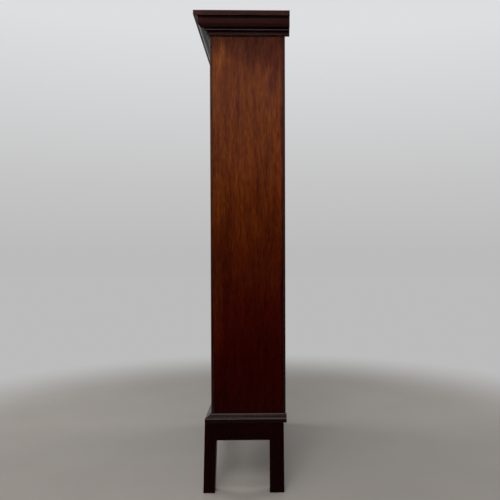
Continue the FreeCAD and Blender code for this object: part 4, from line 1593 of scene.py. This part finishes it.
@dataclass(frozen=True)
class Lamp:
    """A square soft lamp, itself out of the camera's sight.

    Attributes:
        name: Its name.
        place: Its place.
        aim: Where it points.
        size: Length of its sides.
        power: Its power in watts.
        mirrored: Whether a polish shows it.
    """

    name: str
    place: Triple
    aim: Triple
    size: float
    power: float
    mirrored: bool = True


@dataclass
class Studio:
    """Pale floor, soft light and the camera at the photograph's place.

    Attributes:
        backdrop: Colours of the background by the upward part of the view's direction, from -1 to 1.
        horizon: Colour of the background at the horizon.
        floor_size: Length of the floor's sides.
        floor_colour: Colour of the floor.
        floor_mottle: How far its clouds are lighter and darker, as a share.
        pool: Where the floor starts to fade into the background, and where it has.
        reflected: Colours that a polish shows of the room, from behind the cabinet to the camera's side.
        overhead: Strength of the room above in a polish.
        ambient: Colour of the light that comes from everywhere.
        lamps: The lamps.
        camera_place: The camera's place.
        camera_turn: Pitch, roll and yaw of the camera in degrees, from level and square to the side.
        lens: Focal length in millimetres.
        sensor: Width of the sensor in millimetres.
        shift: The camera's shift, right and up.
    """

    backdrop: Stops = (
        (0.35, (0.46, 0.455, 0.45)),
        (0.50, (0.50, 0.50, 0.50)),
        (0.56, (0.56, 0.56, 0.565)),
        (0.68, (0.72, 0.73, 0.74)),
    )
    horizon: Colour = (0.50, 0.50, 0.50)
    floor_size: float = 30.0
    floor_colour: Colour = (0.222, 0.203, 0.182)
    floor_mottle: float = 0.04
    pool: tuple[float, float] = (1.2, 2.2)
    reflected: Stops = (
        (0.30, (0.70, 0.72, 0.74)),
        (0.62, (0.30, 0.30, 0.31)),
        (0.82, (0.03, 0.027, 0.025)),
    )
    overhead: float = 0.5
    ambient: Colour = (0.17, 0.17, 0.18)
    lamps: tuple[Lamp, ...] = (
        Lamp("overhead", (0.90, -0.15, 2.90), (0.25, 0.0, 1.30), 1.2, 30.0),
        Lamp("side", (2.70, -0.30, 2.45), (0.30, 0.0, 1.25), 1.2, 62.0, mirrored=False),
        Lamp("front", (-0.7, -2.5, 2.3), (0.0, 0.0, 0.9), 1.6, 62.0, mirrored=False),
        Lamp("rear", (-1.0, 2.7, 2.3), (0.0, 0.0, 0.9), 1.6, 50.0, mirrored=False),
    )
    camera_place: Triple = (2.231, 0.0933, 0.8083)
    camera_turn: Triple = (-0.962, -0.117, 1.072)
    lens: float = 40.32
    sensor: float = 36.0
    shift: tuple[float, float] = (-0.0626, 0.0193)

    def build(self) -> None:
        """Sets up floor, light and camera."""
        self.floor()
        self.world()
        for lamp in self.lamps:
            self.lamp(lamp)
        self.camera()
        bpy.context.scene.view_settings.view_transform = "Standard"

    def floor(self) -> None:
        """A plain floor that fades into the background away from the cabinet."""
        bpy.ops.mesh.primitive_plane_add(size=self.floor_size)
        floor = bpy.context.object
        floor.name = "studio_floor"
        recipe = Recipe("studio_floor")
        place = recipe.place()
        cloud = recipe.noise(place, (3.0,) * 3, detail=4.0)
        mottle = (1 + self.floor_mottle, 1 - self.floor_mottle)
        light, dark = (tuple(c * k for c in self.floor_colour) for k in mottle)
        colour = recipe.ramp(cloud, ((0.3, dark), (0.7, light)))
        recipe.fill(Base_Color=colour, Roughness=0.5, Specular_IOR_Level=0.3)
        distance = recipe.node("VectorMath", {0: place}, operation="LENGTH").outputs["Value"]
        path = recipe.node("LightPath", {}).outputs
        gloss = path["Is Glossy Ray"]
        seen = recipe.maths("MAXIMUM", path["Is Camera Ray"], gloss)
        seen = recipe.maths("MAXIMUM", seen, path["Is Transmission Ray"])
        dark_side = recipe.maths("MULTIPLY", gloss, recipe.span(recipe.part("X", place), 0.3, 1.6))
        pale = recipe.mix(dark_side, self.horizon, self.reflected[-1][1])
        glow = recipe.node("Emission", {"Color": pale}).outputs[0]
        fade = recipe.maths("MULTIPLY", recipe.span(distance, *self.pool), seen)
        mixed = recipe.node("MixShader", {0: fade, 1: recipe.shader.outputs[0], 2: glow}).outputs[0]
        recipe.plug(recipe.tree.nodes["Material Output"].inputs["Surface"], mixed)
        floor.data.materials.append(recipe.material)
        floor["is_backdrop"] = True

    def world(self) -> None:
        """A pale background, what a polish reflects of the room, and a little light from everywhere."""
        world = bpy.data.worlds.new("studio")
        world.use_nodes = True
        bpy.context.scene.world = world
        nodes = Nodes(world.node_tree)
        parts = nodes.node("SeparateXYZ", {0: nodes.node("TexCoord", {}).outputs["Generated"]}).outputs
        across, up = (nodes.total((parts[axis], 0.5), base=0.5) for axis in ("X", "Z"))
        high = nodes.span(parts["Z"], 0.30, 0.75)
        room = nodes.mix(high, nodes.ramp(across, self.reflected), (self.overhead,) * 3)
        path = nodes.node("LightPath", {}).outputs
        seen = nodes.maths("MAXIMUM", path["Is Camera Ray"], path["Is Transmission Ray"])
        colour = nodes.mix(path["Is Glossy Ray"], self.ambient, room)
        colour = nodes.mix(seen, colour, nodes.ramp(up, self.backdrop))
        nodes.plug(nodes.tree.nodes["Background"].inputs["Color"], colour)

    @staticmethod
    def lamp(lamp: Lamp) -> None:
        """Hangs one lamp.

        Args:
            lamp: The lamp.
        """
        place = Vector(lamp.place)
        bpy.ops.object.light_add(type="AREA", location=place)
        light = bpy.context.object
        light.name = lamp.name + "_lamp"
        light.data.size = lamp.size
        light.data.energy = lamp.power
        light.visible_camera = False
        light.visible_glossy = light.visible_transmission = lamp.mirrored
        light.rotation_euler = (Vector(lamp.aim) - place).to_track_quat("-Z", "Y").to_euler()

    def camera(self) -> None:
        """The camera, nearly level and square to the cabinet's right-hand side."""
        pitch, roll, yaw = (math.radians(angle) for angle in self.camera_turn)
        bpy.ops.object.camera_add(location=self.camera_place)
        camera = bpy.context.object
        level = Matrix.Rotation(math.radians(90) - yaw, 3, "Z") @ Matrix.Rotation(math.radians(90), 3, "X")
        turned = level @ Matrix.Rotation(pitch, 3, "X") @ Matrix.Rotation(roll, 3, "Z")
        camera.rotation_euler = turned.to_euler()
        camera.data.lens = self.lens
        camera.data.sensor_width = self.sensor
        camera.data.shift_x, camera.data.shift_y = self.shift
        bpy.context.scene.camera = camera


def woodwork() -> list[Woodwork]:
    """Every group of boards, frames and mouldings."""
    carcase = names("right left", "nosing") + names("carcase", "top_board bottom_board top_rail bottom_rail")
    door_frames = names("right_door left_door", "hinge_stile meeting_stile top_rail bottom_rail")
    bars = names("right_door left_door", "astragal_bars")
    mouldings = names("front left right", "cornice_moulding") + names("front left right", "base_moulding")
    legs = names("front rear", "right_leg left_leg")
    rails = names("front back right_side left_side", "rail")
    softwood = ("back_boards",) + names("stand", "top_board glue_blocks")
    softwood += names("cornice", "dust_board corner_blocks")
    return [
        Woodwork("side panels", PANEL, names("right left", "side_panel")),
        Woodwork("carcase", JOINERY, carcase),
        Woodwork("shelves", SHELVING, names("lower middle upper", "shelf")),
        Woodwork("door frames", JOINERY, door_frames + ("meeting_bead",), arris=0.5 * MM),
        Woodwork("glazing bars", JOINERY, bars, arris=0.0, grain_by=GrainBy.FACE),
        Woodwork("mouldings", MOULDING, mouldings, arris=0.9 * MM),
        Woodwork("stand", STAND, legs + rails),
        Woodwork("softwood", PINE, softwood, arris=0.6 * MM),
        Woodwork("door stops", PINE_DARK, ("door_stops",), arris=0.6 * MM),
    ]


def main() -> None:
    """Builds the cabinet's looks in order."""
    logging.basicConfig(level=logging.INFO, format="%(name)s: %(message)s")
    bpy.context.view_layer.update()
    for group in woodwork():
        group.build()
    Glazing.dress("cornice_frame", PINE_FRAME)
    for part in (Glazing, ShelfPegs, Hinges, LockFittings, Key, DoorBolts, BackNails, Studio):
        part().build()


if __name__ == "__main__":
    main()
